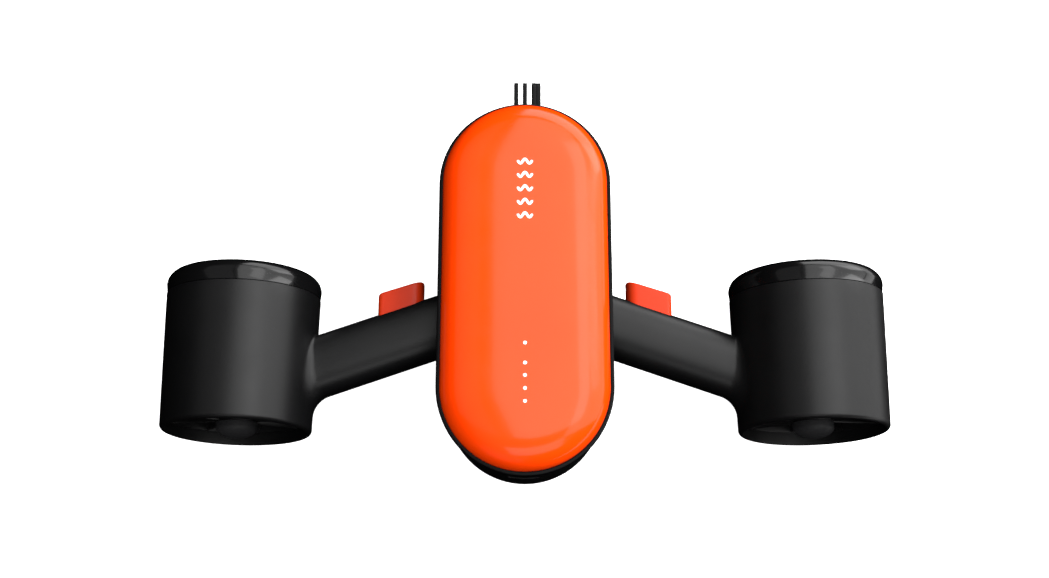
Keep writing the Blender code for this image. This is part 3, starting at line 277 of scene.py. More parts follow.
def inset_outline(outline, inset):
    """Move an outline's points inwards along their corner bisectors."""
    if inset <= 0:
        return outline
    following = outline[1:] + outline[:1]
    area = sum(x * next_y - next_x * y for (x, y), (next_x, next_y) in zip(outline, following))
    turn = 1 if area > 0 else -1
    result = []
    for index, point in enumerate(outline):
        here = Vector(point)
        back = (here - Vector(outline[index - 1])).normalized()
        on = (Vector(following[index]) - here).normalized()
        normal = Vector((-(back + on).y, (back + on).x))
        normal = normal.normalized() * turn
        result.append(tuple(here + normal * inset))
    return result


def cut(piece, *cutters):
    """Cut closed meshes out of a piece, and apply the cut."""
    for cutter in cutters:
        modifier = piece.modifiers.new("cut", "BOOLEAN")
        modifier.operation = "DIFFERENCE"
        modifier.solver = "EXACT"
        modifier.object = cutter
    apply_modifiers(piece)
    for cutter in cutters:
        bpy.data.objects.remove(cutter, do_unlink=True)
    piece.data.set_sharp_from_angle(angle=radians(SMOOTH))


def apply_modifiers(piece):
    """Replace a piece's mesh by the result of its modifiers."""
    evaluated = piece.evaluated_get(bpy.context.evaluated_depsgraph_get())
    mesh = bpy.data.meshes.new_from_object(evaluated)
    piece.modifiers.clear()
    piece.data = mesh


def around(centre, radius, angle, across, y):
    """A point about a thruster's axis: out along a radius, and across it."""
    return (centre[0] + radius * cos(angle) - across * sin(angle), y,
            centre[1] + radius * sin(angle) + across * cos(angle))


def rod(editor, start, end, radius, steps):
    """A cylinder with flat ends between two points."""
    start, end = Vector(start), Vector(end)
    turn = (end - start).to_track_quat("Z", "Y").to_matrix().to_4x4()
    matrix = Matrix.Translation((start + end) / 2) @ turn
    bmesh.ops.create_cone(editor, cap_ends=True, segments=steps, radius1=radius, radius2=radius,
                          depth=(end - start).length, matrix=matrix)


# ---------- materials

DRIFT_SCALE = 9.0  # slow drift of the colour
PATCH_SCALE = 45.0  # patches of uneven gloss
GRAIN_DEPTH = 0.00005


def material(name):
    made = bpy.data.materials.new(name)
    made.use_nodes = True
    return made, made.node_tree, made.node_tree.nodes["Principled BSDF"]


def noise_node(tree, scale, detail=3.0):
    """3D noise in the object's own coordinates."""
    coordinates = tree.nodes.new("ShaderNodeTexCoord")
    texture = tree.nodes.new("ShaderNodeTexNoise")
    texture.inputs["Scale"].default_value = scale
    texture.inputs["Detail"].default_value = detail
    tree.links.new(coordinates.outputs["Object"], texture.inputs["Vector"])
    return texture


def vary_colour(tree, shader, texture, dark, light):
    ramp = tree.nodes.new("ShaderNodeValToRGB")
    ramp.color_ramp.elements[0].position = 0.35
    ramp.color_ramp.elements[0].color = (*dark, 1)
    ramp.color_ramp.elements[1].position = 0.65
    ramp.color_ramp.elements[1].color = (*light, 1)
    tree.links.new(texture.outputs["Fac"], ramp.inputs["Fac"])
    tree.links.new(ramp.outputs["Color"], shader.inputs["Base Color"])


def vary_roughness(tree, shader, texture, low, high):
    spread = tree.nodes.new("ShaderNodeMapRange")
    spread.inputs["From Min"].default_value = 0.3
    spread.inputs["From Max"].default_value = 0.7
    spread.inputs["To Min"].default_value = low
    spread.inputs["To Max"].default_value = high
    tree.links.new(texture.outputs["Fac"], spread.inputs["Value"])
    tree.links.new(spread.outputs["Result"], shader.inputs["Roughness"])


def add_bump(tree, shader, texture, strength):
    bump = tree.nodes.new("ShaderNodeBump")
    bump.inputs["Strength"].default_value = strength
    bump.inputs["Distance"].default_value = GRAIN_DEPTH
    tree.links.new(texture.outputs["Fac"], bump.inputs["Height"])
    tree.links.new(bump.outputs["Normal"], shader.inputs["Normal"])


def moulded(name, dark, light, roughness, grain, relief, coat=0.0, metallic=0.0, specular=0.5):
    """Moulded or finished surface: slow colour drift, uneven gloss and a fine grain."""
    made, tree, shader = material(name)
    vary_colour(tree, shader, noise_node(tree, DRIFT_SCALE), dark, light)
    vary_roughness(tree, shader, noise_node(tree, PATCH_SCALE, 4.0), *roughness)
    add_bump(tree, shader, noise_node(tree, grain, 2.0), relief)
    shader.inputs["Metallic"].default_value = metallic
    shader.inputs["Specular IOR Level"].default_value = specular
    if coat:
        shader.inputs["Coat Weight"].default_value = coat
        shader.inputs["Coat Roughness"].default_value = 0.04
    return made


def black(name, roughness, grain, relief, **gloss):
    """The black of the mouldings, in different glosses."""
    return moulded(name, (0.0022, 0.0022, 0.0024), (0.0032, 0.0032, 0.0034), roughness, grain,
                   relief, **gloss)


FINISH = {
    "orange_shell": moulded("orange_gloss", (1.0, 0.050, 0.0008), (1.0, 0.055, 0.0012), (0.13, 0.17),
                            grain=1400.0, relief=0.02, coat=0.2),
    "orange_trigger": moulded("trigger_orange", (0.50, 0.026, 0.003), (0.55, 0.029, 0.004), (0.30, 0.36),
                              grain=2600.0, relief=0.10, specular=0.28),
    "satin_black": black("black_satin", (0.36, 0.42), 3000.0, 0.16, specular=0.65),
    "gloss_black": moulded("black_gloss", (0.0025, 0.0025, 0.0027), (0.0034, 0.0034, 0.0036), (0.16, 0.20),
                           grain=900.0, relief=0.01, coat=0.4),
    "black_rubber": moulded("rubber", (0.012, 0.012, 0.012), (0.02, 0.02, 0.02), (0.7, 0.85),
                            grain=1800.0, relief=0.25),
    "grey_plastic": moulded("grey_matt", (0.075, 0.075, 0.08), (0.095, 0.095, 0.10), (0.45, 0.55),
                            grain=2200.0, relief=0.15),
    "circuit_board": moulded("board_green", (0.004, 0.055, 0.022), (0.01, 0.09, 0.035), (0.35, 0.5),
                             grain=700.0, relief=0.2),
    "clear_light_guide": moulded("milky_guide", (0.78, 0.80, 0.82), (0.86, 0.87, 0.88), (0.25, 0.35),
                                 grain=1500.0, relief=0.03),
    "stainless_steel": moulded("steel", (0.42, 0.42, 0.43), (0.55, 0.55, 0.56), (0.22, 0.34),
                               grain=1500.0, relief=0.08, metallic=1.0),
    "magnet": moulded("nickel_magnet", (0.33, 0.33, 0.35), (0.42, 0.42, 0.44), (0.2, 0.3),
                      grain=1200.0, relief=0.05, metallic=1.0),
    "copper": moulded("copper_winding", (0.36, 0.10, 0.03), (0.62, 0.22, 0.08), (0.3, 0.45),
                      grain=800.0, relief=0.4, metallic=1.0),
    "gold_contact": moulded("gold_plate", (0.70, 0.47, 0.16), (0.80, 0.56, 0.22), (0.2, 0.3),
                            grain=900.0, relief=0.05, metallic=1.0),
    "lead_jacket": moulded("lead_jacket", (0.012, 0.012, 0.012), (0.02, 0.02, 0.02), (0.5, 0.6),
                           grain=1500.0, relief=0.15),
    "cell_wrap": moulded("cell_wrap", (0.012, 0.10, 0.25), (0.02, 0.14, 0.32), (0.25, 0.35),
                         grain=500.0, relief=0.06),
}


# Painted light: the cap's black is made a lighter grey than the hub's to stand in for the even light on
# its dome.
CAP_PAINTED_LIGHT_FINISH = moulded("cap_painted_light_grey", (0.013, 0.013, 0.014), (0.016, 0.016, 0.017), (0.5, 0.6),
                     grain=2600.0, relief=0.12, specular=0.35)
MOUNT_FINISH = black("mount_black", (0.30, 0.38), 2600.0, 0.12, specular=0.18)
RIM_FINISH = moulded("rim_black", (0.0020, 0.0020, 0.0022), (0.0030, 0.0030, 0.0032), (0.26, 0.32),
                     grain=2400.0, relief=0.08, specular=0.15)
WHITE_INK = moulded("white_ink", (0.84, 0.83, 0.82), (0.92, 0.91, 0.90), (0.4, 0.5),
                    grain=2000.0, relief=0.05)


def light_lens():
    """Milky lens of a battery light, glowing faintly."""
    made = moulded("light_lens", (0.90, 0.90, 0.90), (0.97, 0.97, 0.97), (0.2, 0.3),
                   grain=1500.0, relief=0.02)
    shader = made.node_tree.nodes["Principled BSDF"]
    shader.inputs["Emission Color"].default_value = (1.0, 0.98, 0.96, 1)
    shader.inputs["Emission Strength"].default_value = 0.10
    return made


# ---------- hull

def build_tub():
    """The tub: flat belly, rounded foot, drafted wall and inner skin, with the openings cut."""
    wall, foot_r, rounding = 0.0030, 0.0545, 0.0160
    inner_r = foot_r - wall
    section = [(0, 0)] + arc((foot_r - rounding, rounding), (rounding, rounding), -90, 0, 14)
    mouth = [(foot_r, rounding), (TUB_R, TUB_TOP), (TUB_R - wall, TUB_TOP), (inner_r, rounding)]
    section += rounded(mouth, 0.0004, closed=False)[1:-1]
    section += arc((foot_r - rounding, rounding), (rounding - wall, rounding - wall), 0, -90, 8)
    section += [(0, wall)]
    editor = bmesh.new()
    stadium(editor, section, closed=False)
    tub = piece_from("tub_shell", editor, "hull", "satin_black")
    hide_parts("hull_tub")
    cutters = [window_cutter()] + [arm_hole_cutter(side) for side in SIDES.values()]
    cutters += [screw_well_cutter(x, y, 0, *BELLY_WELL) for x, y in belly_screws()]
    cutters.append(belly_groove_cutter())
    cut(tub, *cutters)


def window_cutter():
    """The latch's opening in the tail wall."""
    margin, corner, reach = 0.0004, 0.0026, 0.01
    editor = bmesh.new()
    outline = rounded(rectangle(-BUTTON_HALF - margin, BUTTON_LOW - margin, BUTTON_HALF + margin,
                                BUTTON_HIGH + margin), corner)
    slab(editor, outline, TAIL_Y - HULL_R - reach, TAIL_Y - HULL_R + reach, Y_AXIS)
    return plain_object("cutter", editor)


def belly_screws():
    """Places of the belly's screws, in pairs along the hull."""
    half_spacing, past_spine = 0.030, 0.012
    places = []
    for y in (NOSE_Y + past_spine, (NOSE_Y + TAIL_Y) / 2, TAIL_Y - past_spine):
        places += [(-half_spacing, y), (half_spacing, y)]
    return places


def screw_well_cutter(x, y, surface, radius, depth):
    """A round well in a surface that looks down."""
    below = 0.002
    editor = bmesh.new()
    rod(editor, (x, y, surface - below), (x, y, surface + depth), radius, 32)
    return plain_object("cutter", editor)


def belly_groove_cutter():
    """A narrow groove round the belly's flat, following the hull's outline."""
    inner, width, depth, below = 0.0350, 0.0008, 0.0005, 0.001
    editor = bmesh.new()
    stadium(editor, rectangle(inner, -below, inner + width, depth))
    return plain_object("cutter", editor)


def build_rim():
    """Ring round the cover, with the ledge for the pack's seal."""
    ledge_z, ledge_r, skirt_r, mouth_r = 0.0860, 0.0515, 0.0534, COVER_R + GAP
    section = rounded([
        (HULL_R, RIM_BOTTOM), (HULL_R, RIM_TOP), (mouth_r, RIM_TOP), (mouth_r, ledge_z),
        (ledge_r, ledge_z), (ledge_r, RIM_LOW.z), (skirt_r, RIM_LOW.z), (skirt_r, RIM_BOTTOM),
    ], (0.0005, 0.0009, 0.0003, 0, 0.0003, 0.0003, 0.0003, 0.0002), steps=6)
    editor = bmesh.new()
    stadium(editor, section)
    rim = piece_from("rim_ring", editor, "hull", "gloss_black", finish=RIM_FINISH)
    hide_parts("hull_rim")


# ---------- battery cover

def cover_height(radius, wall=0.0):
    """Height of the cover's skin at a distance from the stadium's spine, inside its wall or out."""
    share = min(1.0, abs(radius) / (COVER_R - wall))
    return COVER_BASE + (COVER_TOP - wall - COVER_BASE) * sqrt(max(0.0, 1 - share ** COVER_POWER))


def cover_surface(x, y):
    """Height of the cover over a point."""
    along = min(max(y, TAIL_Y), NOSE_Y)
    return cover_height(hypot(x, y - along))


def build_cover():
    """The glossy cover: steep flanks that run into a gently crowned top."""
    wall, outer_steps, inner_steps = 0.0025, 44, 20
    outer = []
    for index in range(outer_steps):
        radius = COVER_R * cos(pi / 2 * index / outer_steps) ** COVER_SPREAD
        outer.append((radius, cover_height(radius)))
    outer.append((0, COVER_TOP))
    inner = []
    for index in range(inner_steps + 1):
        radius = (COVER_R - wall) * sin(pi / 2 * index / inner_steps) ** COVER_SPREAD
        inner.append((radius, cover_height(radius, wall)))
    editor = bmesh.new()
    stadium(editor, inner + outer, closed=False, arc_steps=56, straight_steps=20)
    cover = piece_from("cover_shell", editor, "battery_pack", "orange_shell", 50)
    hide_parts("battery_cover")
    cover.visible_glossy = False


def build_tray():
    """The pack's lower shell, with its round corners and the flange that rests on the seal."""
    low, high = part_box("battery_tray")
    outer, wall, flange = 0.0385, 0.0025, 0.0016
    corners = [(0, low.z), (outer, low.z), (outer, high.z - flange), (high.x, high.z - flange),
               (high.x, high.z), (outer - wall, high.z), (outer - wall, low.z + wall), (0, low.z + wall)]
    section = rounded(corners, (0, 0.0050, 0.0008, 0.0004, 0.0004, 0.0004, 0.0030, 0),
                      closed=False, steps=6)
    editor = bmesh.new()
    stadium(editor, section, closed=False)
    tray = piece_from("tray_shell", editor, "battery_pack", "grey_plastic")
    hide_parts("battery_tray")


def light_places():
    """Places of the five battery lights, from the light guide's front end backwards."""
    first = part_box("light_guide")[1].y - 0.0035
    return [first - offset for offset in (0.0, 0.0129, 0.0209, 0.0292, 0.0374)]


def build_lights():
    """Five small milky lenses on the cover's top."""
    radius, bulge, depth = 0.00118, 0.00009, 0.0012
    rings, steps = 6, 24
    editor = bmesh.new()
    for y in light_places():
        top = cover_surface(0, y)
        rows = []
        for ring in range(rings + 1):
            turn = pi / 2 * ring / rings
            size = radius * cos(turn)
            height = top + bulge * sin(turn)
            rows.append([(size * cos(a), y + size * sin(a), height)
                         for a in [2 * pi * k / steps for k in range(steps)]])
        rows.insert(0, [(x, y_place, top - depth) for x, y_place, _ in rows[0]])
        made = skin(editor, rows, wrap_columns=True)
        editor.faces.new(made[0])
    piece_from("battery_lights", editor, "battery_pack", "clear_light_guide", finish=light_lens())


def build_emblem():
    """A generic mark: five stacked waves in white ink, drawn as ribbons on the cover."""
    waves, first_y, pitch = 5, NOSE_Y - 0.0295, 0.0094
    editor = bmesh.new()
    for index in range(waves):
        wave_ribbon(editor, first_y + pitch * index)
    piece_from("emblem", editor, "battery_pack", "clear_light_guide", 60, WHITE_INK)


def wave_ribbon(editor, middle_y):
    """One wave across the cover, with round ends, standing a hair proud of the surface."""
    half_width, swing, half_line, lift, depth = 0.0045, 0.0016, 0.00085, 0.00006, 0.0003
    steps = 36
    line = []
    for index in range(steps + 1):
        x = half_width * (2 * index / steps - 1)
        line.append(Vector((x, middle_y + swing * cos(1.5 * pi * x / half_width))))
    left, right = [], []
    for index, point in enumerate(line):
        before, after = line[max(index - 1, 0)], line[min(index + 1, steps)]
        direction = (after - before).normalized()
        side = Vector((-direction.y, direction.x)) * half_line
        left.append(point + side)
        right.append(point - side)
    outline = right + round_end(line[-1], right[-1]) + left[::-1] + round_end(line[0], left[0])
    top = [editor.verts.new((p.x, p.y, cover_surface(p.x, p.y) + lift)) for p in outline]
    low = [editor.verts.new((p.x, p.y, cover_surface(p.x, p.y) - depth)) for p in outline]
    editor.faces.new(top)
    editor.faces.new(low[::-1])
    for index in range(len(outline)):
        following = (index + 1) % len(outline)
        editor.faces.new((low[index], low[following], top[following], top[index]))


def round_end(centre, start):
    """Points of a half turn about a line's end, without its first and last."""
    arm, steps = start - centre, 8
    points = []
    for index in range(1, steps):
        turn = pi * index / steps
        points.append(centre + Vector((arm.x * cos(turn) - arm.y * sin(turn),
                                       arm.x * sin(turn) + arm.y * cos(turn))))
    return points


# ---------- arms and ducts

def duct_radius(y):
    """The duct's outer radius, which narrows from its front to its rear."""
    return DUCT_R - DUCT_TAPER * (FRONT_Y - y)


def power(value, exponent):
    return copysign(abs(value) ** exponent, value)


def fillet_radius(angle):
    """Fillet between arm and duct: small in front of the arm, wide behind it."""
    return FILLET_FRONT + (FILLET_REAR - FILLET_FRONT) * (0.5 - 0.5 * cos(angle)) ** 1.2


def arm_line_y(x):
    """The arm's middle line, which sweeps back from the hull."""
    return ARM_MIDDLE_Y - ARM_SWEEP * (x - ARM_MIDDLE_X)


def arm_points(angle, side, drop):
    """One line of the arm's skin from the hull to the duct, ending in the fillet."""
    straight_steps, fillet_steps = 20, 12
    across = ARM_HALF_CHORD * power(cos(angle), ARM_POWER)
    up = (ARM_HALF_HEIGHT - drop) * power(sin(angle), ARM_POWER)
    square = 2 / ARM_POWER - 1
    normal = Vector((power(across / ARM_HALF_CHORD, square) / ARM_HALF_CHORD,
                     power(up / ARM_HALF_HEIGHT, square) / ARM_HALF_HEIGHT)).normalized()
    radius = fillet_radius(angle)

    def place(x, y_offset, z_offset):
        return (side * x, arm_line_y(x) + y_offset, AXIS_Z - drop + z_offset)

    def duct_x(y_offset, z_offset):
        reach = duct_radius(ARM_MIDDLE_Y - ARM_SWEEP * ARM_REACH + y_offset)
        return AXIS_X - sqrt(max(reach ** 2 - z_offset ** 2, 0))

    start = duct_x(across, up) - radius
    line = [place(ARM_ROOT_X + (start - ARM_ROOT_X) * k / straight_steps, across, up)
            for k in range(straight_steps)]
    for index in range(fillet_steps + 1):
        turn = pi / 2 * index / fillet_steps
        out = radius * (1 - cos(turn))
        y_offset, z_offset = across + normal.x * out, up + normal.y * out
        line.append(place(duct_x(y_offset, z_offset) - radius * (1 - sin(turn)), y_offset, z_offset))
    return line


def arm_screws(side):
    """Places of the two screws in the underside of an arm."""
    return [(side * x, arm_line_y(x)) for x in (0.0760, 0.1120)]


def arm_half(name, side, start, drop, wells=()):
    """Half of an arm's shell: the upper half starts at 0 degrees and the lower one at -180."""
    steps, first_step = 40, 1.5
    turns = [0, first_step] + [180 * k / steps for k in range(1, steps)] + [180 - first_step, 180]
    lines = [arm_points(radians(start + turn), side, drop) for turn in turns]
    rows = [list(row) for row in zip(*lines)]
    if side < 0:
        rows = [row[::-1] for row in rows]
    editor = bmesh.new()
    skin(editor, rows)
    piece = piece_from(name, editor, "hull", "satin_black", 50, recalculate=False)
    wall = piece.modifiers.new("wall", "SOLIDIFY")
    wall.thickness = ARM_WALL
    wall.offset = -1
    wall.use_even_offset = True
    cutters = [screw_well_cutter(x, y, AXIS_Z - ARM_HALF_HEIGHT, *ARM_WELL) for x, y in wells]
    cut(piece, trigger_slot_cutter(side, 0.0004), *cutters)
    return piece


def trigger_outline(side, margin):
    """Section of the trigger across its travel, as (x, z): its inner side is fully round."""
    half, inner_corner, outer_corner = 0.0090 + margin, 0.0125, 0.0040
    corners = rectangle(TRIGGER_IN - margin, AXIS_Z - half, TRIGGER_OUT + margin, AXIS_Z + half)
    outline = rounded(corners, (inner_corner, outer_corner, outer_corner, inner_corner), steps=12)
    return [(side * x, z) for x, z in outline]


def trigger_slot_cutter(side, margin):
    behind = 0.002
    editor = bmesh.new()
    slab(editor, trigger_outline(side, margin), TRIGGER_LOW.y - behind, TRIGGER_HIGH.y, Y_AXIS)
    return plain_object("cutter", editor)


def arm_hole_cutter(side):
    """Opening in the tub's wall for an arm, a little larger than the arm."""
    grow, steps, inside, outside = 0.0007, 72, 0.0490, 0.0620
    editor = bmesh.new()
    rows = []
    for x in (inside, outside):
        row = []
        for index in range(steps):
            angle = 2 * pi * index / steps
            y_offset = (ARM_HALF_CHORD + grow) * power(cos(angle), ARM_POWER)
            z_offset = (ARM_HALF_HEIGHT + grow) * power(sin(angle), ARM_POWER)
            row.append((side * x, arm_line_y(x) + y_offset, AXIS_Z + z_offset))
        rows.append(row)
    capped_skin(editor, rows)
    return plain_object("cutter", editor)


def duct_section():
    """Section of the duct's wall behind the front ring, as (radius, y)."""
    front, bevel, lip_depth = SEAM_Y - GAP, 0.0004, 0.0028
    turn_start = REAR_Y + lip_depth
    lip = BORE_R + bevel
    rear = arc((lip, turn_start), (duct_radius(turn_start) - lip, lip_depth), 0, -90, 12)
    back, *stations = [front - 0.01, front - 0.03, front - 0.05, front - 0.07]
    corners = [(BORE_R, back), (BORE_R, front), (duct_radius(front), front), (duct_radius(back), back)]
    front_rim = rounded(corners, (0, bevel, 0.0005, 0), closed=False)
    outer = [(duct_radius(y), y) for y in stations]
    return front_rim + outer + rear + [(BORE_R, REAR_Y + bevel), (BORE_R, turn_start)]


def smooth_step(share):
    """Ease from 0 to 1, and stay there past the ends."""
    share = min(1.0, max(0.0, share))
    return share * share * (3 - 2 * share)


def build_thruster_shell(word, side):
    """The duct with its slanted outlet, and the arm's two halves, with screw wells in the lower one."""
    centre = (side * AXIS_X, AXIS_Z)
    editor = bmesh.new()
    turned(editor, duct_section(), centre, 128)
    for vert in editor.verts:
        share = smooth_step((REAR_Y + SLANT_LENGTH - vert.co.y) / SLANT_LENGTH)
        height = (vert.co.z - AXIS_Z + BORE_R) / (2 * BORE_R)
        vert.co.y += OUTLET_SLANT * share * height
    shell = piece_from(f"duct_shell_{word}", editor, "hull", "satin_black")
    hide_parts(f"duct_{word}")
    arm_half(f"arm_upper_shell_{word}", side, 0, 0.0)
    lower = arm_half(f"arm_lower_shell_{word}", side, -180, GAP, arm_screws(side))
    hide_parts(f"arm_cover_{word}")


GRILLE_BACK, GRILLE_FRONT = -0.0050, -0.0020
GRILLE_RINGS = (0.0126, 0.0188, 0.0248, 0.0308, 0.0364)
SPOKES = 6


def build_front_ring(word, side):
    """The glossy front ring with its grille of rings and spokes."""
    rounding, throat_r, sleeve_r, bar_half, disc_r = 0.0092, 0.0402, BORE_R - 0.0002, 0.0008, 0.0080
    centre = (side * AXIS_X, AXIS_Z)
    section = arc((DUCT_R - rounding, FRONT_Y - rounding), (rounding, rounding), 0, 90, 16)
    section += rounded([(throat_r + GAP, FRONT_Y - 0.0002), (throat_r, FRONT_Y - 0.0024),
                        (sleeve_r, -0.0090), (sleeve_r, SEAM_Y), (duct_radius(SEAM_Y), SEAM_Y)],
                       (0.0003, 0.0010, 0.0060, 0.0002, 0.0003), closed=True, steps=6)
    editor = bmesh.new()
    turned(editor, section, centre, 128)
    for radius in GRILLE_RINGS:
        bar = rectangle(radius - bar_half, GRILLE_BACK, radius + bar_half, GRILLE_FRONT)
        turned(editor, rounded(bar, 0.0006, steps=3), centre, 72)
    disc = [(0, GRILLE_BACK), (disc_r, GRILLE_BACK), (disc_r, GRILLE_FRONT), (0, GRILLE_FRONT + 0.0006)]
    turned(editor, rounded(disc, (0, 0.0006, 0.0010, 0), closed=False), centre, 48, closed=False)
    for index in range(SPOKES):
        add_spoke(editor, centre, 2 * pi * (index + 0.5) / SPOKES)
    ring = piece_from(f"front_ring_{word}", editor, "hull", "gloss_black", 45)
    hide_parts(f"intake_guard_{word}")


def add_spoke(editor, centre, angle):
    """One spoke of the grille, from the middle disc to the ring."""
    half, proud = 0.0009, 0.0001
    section = rectangle(-half, GRILLE_BACK - proud, half, GRILLE_FRONT + proud)
    section = rounded(section, 0.0007, steps=3)
    rows = [[around(centre, radius, angle, across, y) for across, y in section]
            for radius in (0.0070, 0.0250, 0.0428)]
    capped_skin(editor, rows)


def build_stator(word, side):
    """Hub, eight vanes and ring behind the propeller, with the domed cap on the hub."""
    ring_r, wall, bore_r, spigot_r, inside_r, floor = 0.0448, 0.0022, 0.0047, 0.0062, 0.0175, 0.0030
    thin_vane, pylon, hub_steps = 0.0011, 0.0042, 8
    centre, front = (side * AXIS_X, AXIS_Z), STATOR_FRONT
    editor = bmesh.new()
    ring = rounded(rectangle(ring_r, STATOR_BACK, STATOR_R, front), 0.0006, steps=3)
    turned(editor, ring, centre, 96)
    backs = [STATOR_BACK + HUB_TAPER * index / hub_steps for index in range(hub_steps + 1)]
    outside = [(hub_radius(y), y) for y in backs]
    inside = [(hub_radius(y) - wall, y) for y in backs[::-1]]
    shoulder = rounded([outside[-1], (HUB_R, front), (bore_r, front)], (0, 0.0012, 0), closed=False)[1:]
    hub = outside + shoulder + [(bore_r, front - floor), (inside_r, front - floor)] + inside
    turned(editor, hub, centre, 72)
    turned(editor, rectangle(bore_r, front - 0.0010, spigot_r, HUB_HIGH.y), centre, 32)
    for index in range(VANES):
        angle = VANE_START + 2 * pi * index / VANES
        angle = angle if side > 0 else pi - angle
        add_vane(editor, centre, angle, side, pylon if index == VANES // 2 else thin_vane)
    stator = piece_from(f"stator_{word}", editor, "hull", "satin_black", 45)
    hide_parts(f"stator_hub_{word}")
    build_cone(word, centre)


def hub_radius(y):
    """The hub's radius: full round the motor, narrowing to the cap behind it."""
    return HUB_R + (HUB_END_R - HUB_R) * smooth_step((STATOR_BACK + HUB_TAPER - y) / HUB_TAPER)


def add_vane(editor, centre, angle, side, half):
    """One vane: a thin blade that is rounded at the front and sharp at the back."""
    front, back = STATOR_FRONT - 0.0020, STATOR_BACK + 0.0002
    tip_r, sunk, bow, steps = 0.0452, 0.0010, 0.0016, 24
    section = []
    for index in range(steps):
        turn = 2 * pi * index / steps
        share = 0.5 + 0.5 * cos(turn)
        thickness = half * power(sin(turn), 0.6) * (0.55 + 0.45 * share)
        bend = side * bow * (2 * share - 1) ** 2
        section.append((thickness + bend, back + (front - back) * share))
    rows = []
    for reach in (0, 0.25, 0.5, 0.75, 1):
        row = []
        for across, y in section:
            root = hub_radius(y) - sunk
            row.append(around(centre, root + (tip_r - root) * reach, angle, across, y))
        rows.append(row)
    capped_skin(editor, rows)


def build_cone(word, centre):
    """Round-nosed cap on the stator's hub."""
    base, wall, nose = CONE_HIGH.y, 0.0022, 0.0072
    inner_r, turn_y = HUB_END_R - wall, CAP_TIP + nose
    outer = [(HUB_END_R, base)] + arc((0, turn_y), (HUB_END_R, nose), 0, -90, 18)
    inner = arc((0, turn_y), (inner_r, nose - wall), -90, 0, 10) + [(inner_r, base)]
    outer[-1] = (0, CAP_TIP)
    inner[0] = (0, CAP_TIP + wall)
    editor = bmesh.new()
    turned(editor, inner + outer, centre, 72, closed=False)
    # The cap's lighter grey is painted light on the dome, not its own colour.
    cone = piece_from(f"tail_cap_{word}", editor, "hull", "satin_black", 50, CAP_PAINTED_LIGHT_FINISH)
    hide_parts(f"tail_cone_{word}")


# ---------- propellers

PROP_MIDDLE = -0.0364
PROP_TIP = 0.0443
BLADE_ROOT = 0.0120
BLADE_START = 0.0130  # the blades' first section, inside the hub
BLADES = 3
PITCH = 0.0950  # travel for one turn, which twists the blades
SWEEP = 0.0060
CHORD_LEAST, CHORD_SWELL = 0.0136, 0.0185
ROOT_THICKNESS, THINNING = 0.0016, 0.0009
TIP_START = 0.80  # where the blade's tip begins to round, from root to tip


def blade_section(radius, share):
    """Half thickness, chord, twist and sweep of a propeller blade at a radius."""
    out = (radius - BLADE_ROOT) / (PROP_TIP - BLADE_ROOT)
    chord = CHORD_LEAST + CHORD_SWELL * sin(pi * (0.1 + 0.8 * out))
    chord *= sqrt(max(0.02, 1 - max(0.0, (out - TIP_START) / (1 - TIP_START)) ** 2.4))
    twist = atan(PITCH / (2 * pi * radius))
    thickness = ROOT_THICKNESS - THINNING * out
    profile = thickness * 2.6 * sqrt(share) * (1 - share) ** 0.8
    return profile, chord, twist, SWEEP * out * out


def add_blade(editor, centre, side, start_angle):
    """One blade with a rounded leading edge, a thin trailing edge and a rounded tip."""
    stations, steps = 18, 28
    rows = []
    for station in range(stations + 1):
        radius = BLADE_START + (PROP_TIP - BLADE_START) * (station / stations) ** 0.8
        row = []
        for index in range(steps):
            turn = 2 * pi * index / steps
            share = 0.5 - 0.5 * cos(turn)
            half, chord, twist, sweep = blade_section(radius, share)
            along = (share - 0.5) * chord
            lift = half if sin(turn) >= 0 else -0.6 * half
            arc_length = along * cos(twist) + lift * sin(twist) + sweep
            y = PROP_MIDDLE - along * sin(twist) + lift * cos(twist)
            angle = start_angle + arc_length / radius
            x = centre[0] + side * radius * cos(angle)
            row.append((x, y, centre[1] + radius * sin(angle)))
        rows.append(row)
    capped_skin(editor, rows)


def build_propeller(word, side):
    """Hub with three blades, and the spinner nut in front of it."""
    bore_r, front, back = 0.0032, -0.0273, -0.0450
    centre = (side * AXIS_X, AXIS_Z)
    corners = [(bore_r, front), (0.0126, front), (0.0148, -0.0360), (0.0150, back), (bore_r, back)]
    editor = bmesh.new()
    turned(editor, rounded(corners, (0.0002, 0.0004, 0.0030, 0.0006, 0.0002)), centre, 64)
    for index in range(BLADES):
        add_blade(editor, centre, side, 2 * pi * index / BLADES)
    propeller = piece_from(f"propeller_blades_{word}", editor, f"rotor_{word}", "satin_black", 45)
    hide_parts(f"propeller_{word}")
    base, tip, spinner_r, bore_end = front + GAP, -0.0160, 0.0122, -0.0205
    nose = arc((0, base), (spinner_r, tip - base), 0, 90, 16)
    nose[-1] = (0, tip)
    editor = bmesh.new()
    section = [(0, bore_end), (bore_r, bore_end), (bore_r, base)] + nose
    turned(editor, section, centre, 48, closed=False)
    spinner = piece_from(f"spinner_{word}", editor, f"rotor_{word}", "satin_black", 45)
    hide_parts(f"propeller_nut_{word}")


# ---------- triggers

def build_trigger(word, side):
    """The trigger: a round-sided body whose front is slanted like the arm's."""
    slant, edge, steps = 0.0098, 0.0016, 6
    outline = trigger_outline(side, 0)
    rows = [[(x, TRIGGER_LOW.y, z) for x, z in outline]]
    for step in range(steps + 1):
        turn = pi / 2 * step / steps
        row = []
        for x, z in inset_outline(outline, edge * (1 - cos(turn))):
            front = TRIGGER_HIGH.y - slant * (abs(x) - TRIGGER_IN) / (TRIGGER_OUT - TRIGGER_IN)
            row.append((x, front - edge * (1 - sin(turn)), z))
        rows.append(row)
    editor = bmesh.new()
    capped_skin(editor, rows)
    piece = piece_from(f"trigger_cap_{word}", editor, f"trigger_{word}", "orange_trigger", 50)
    piece.visible_glossy = False
    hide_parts(f"trigger_{word}")


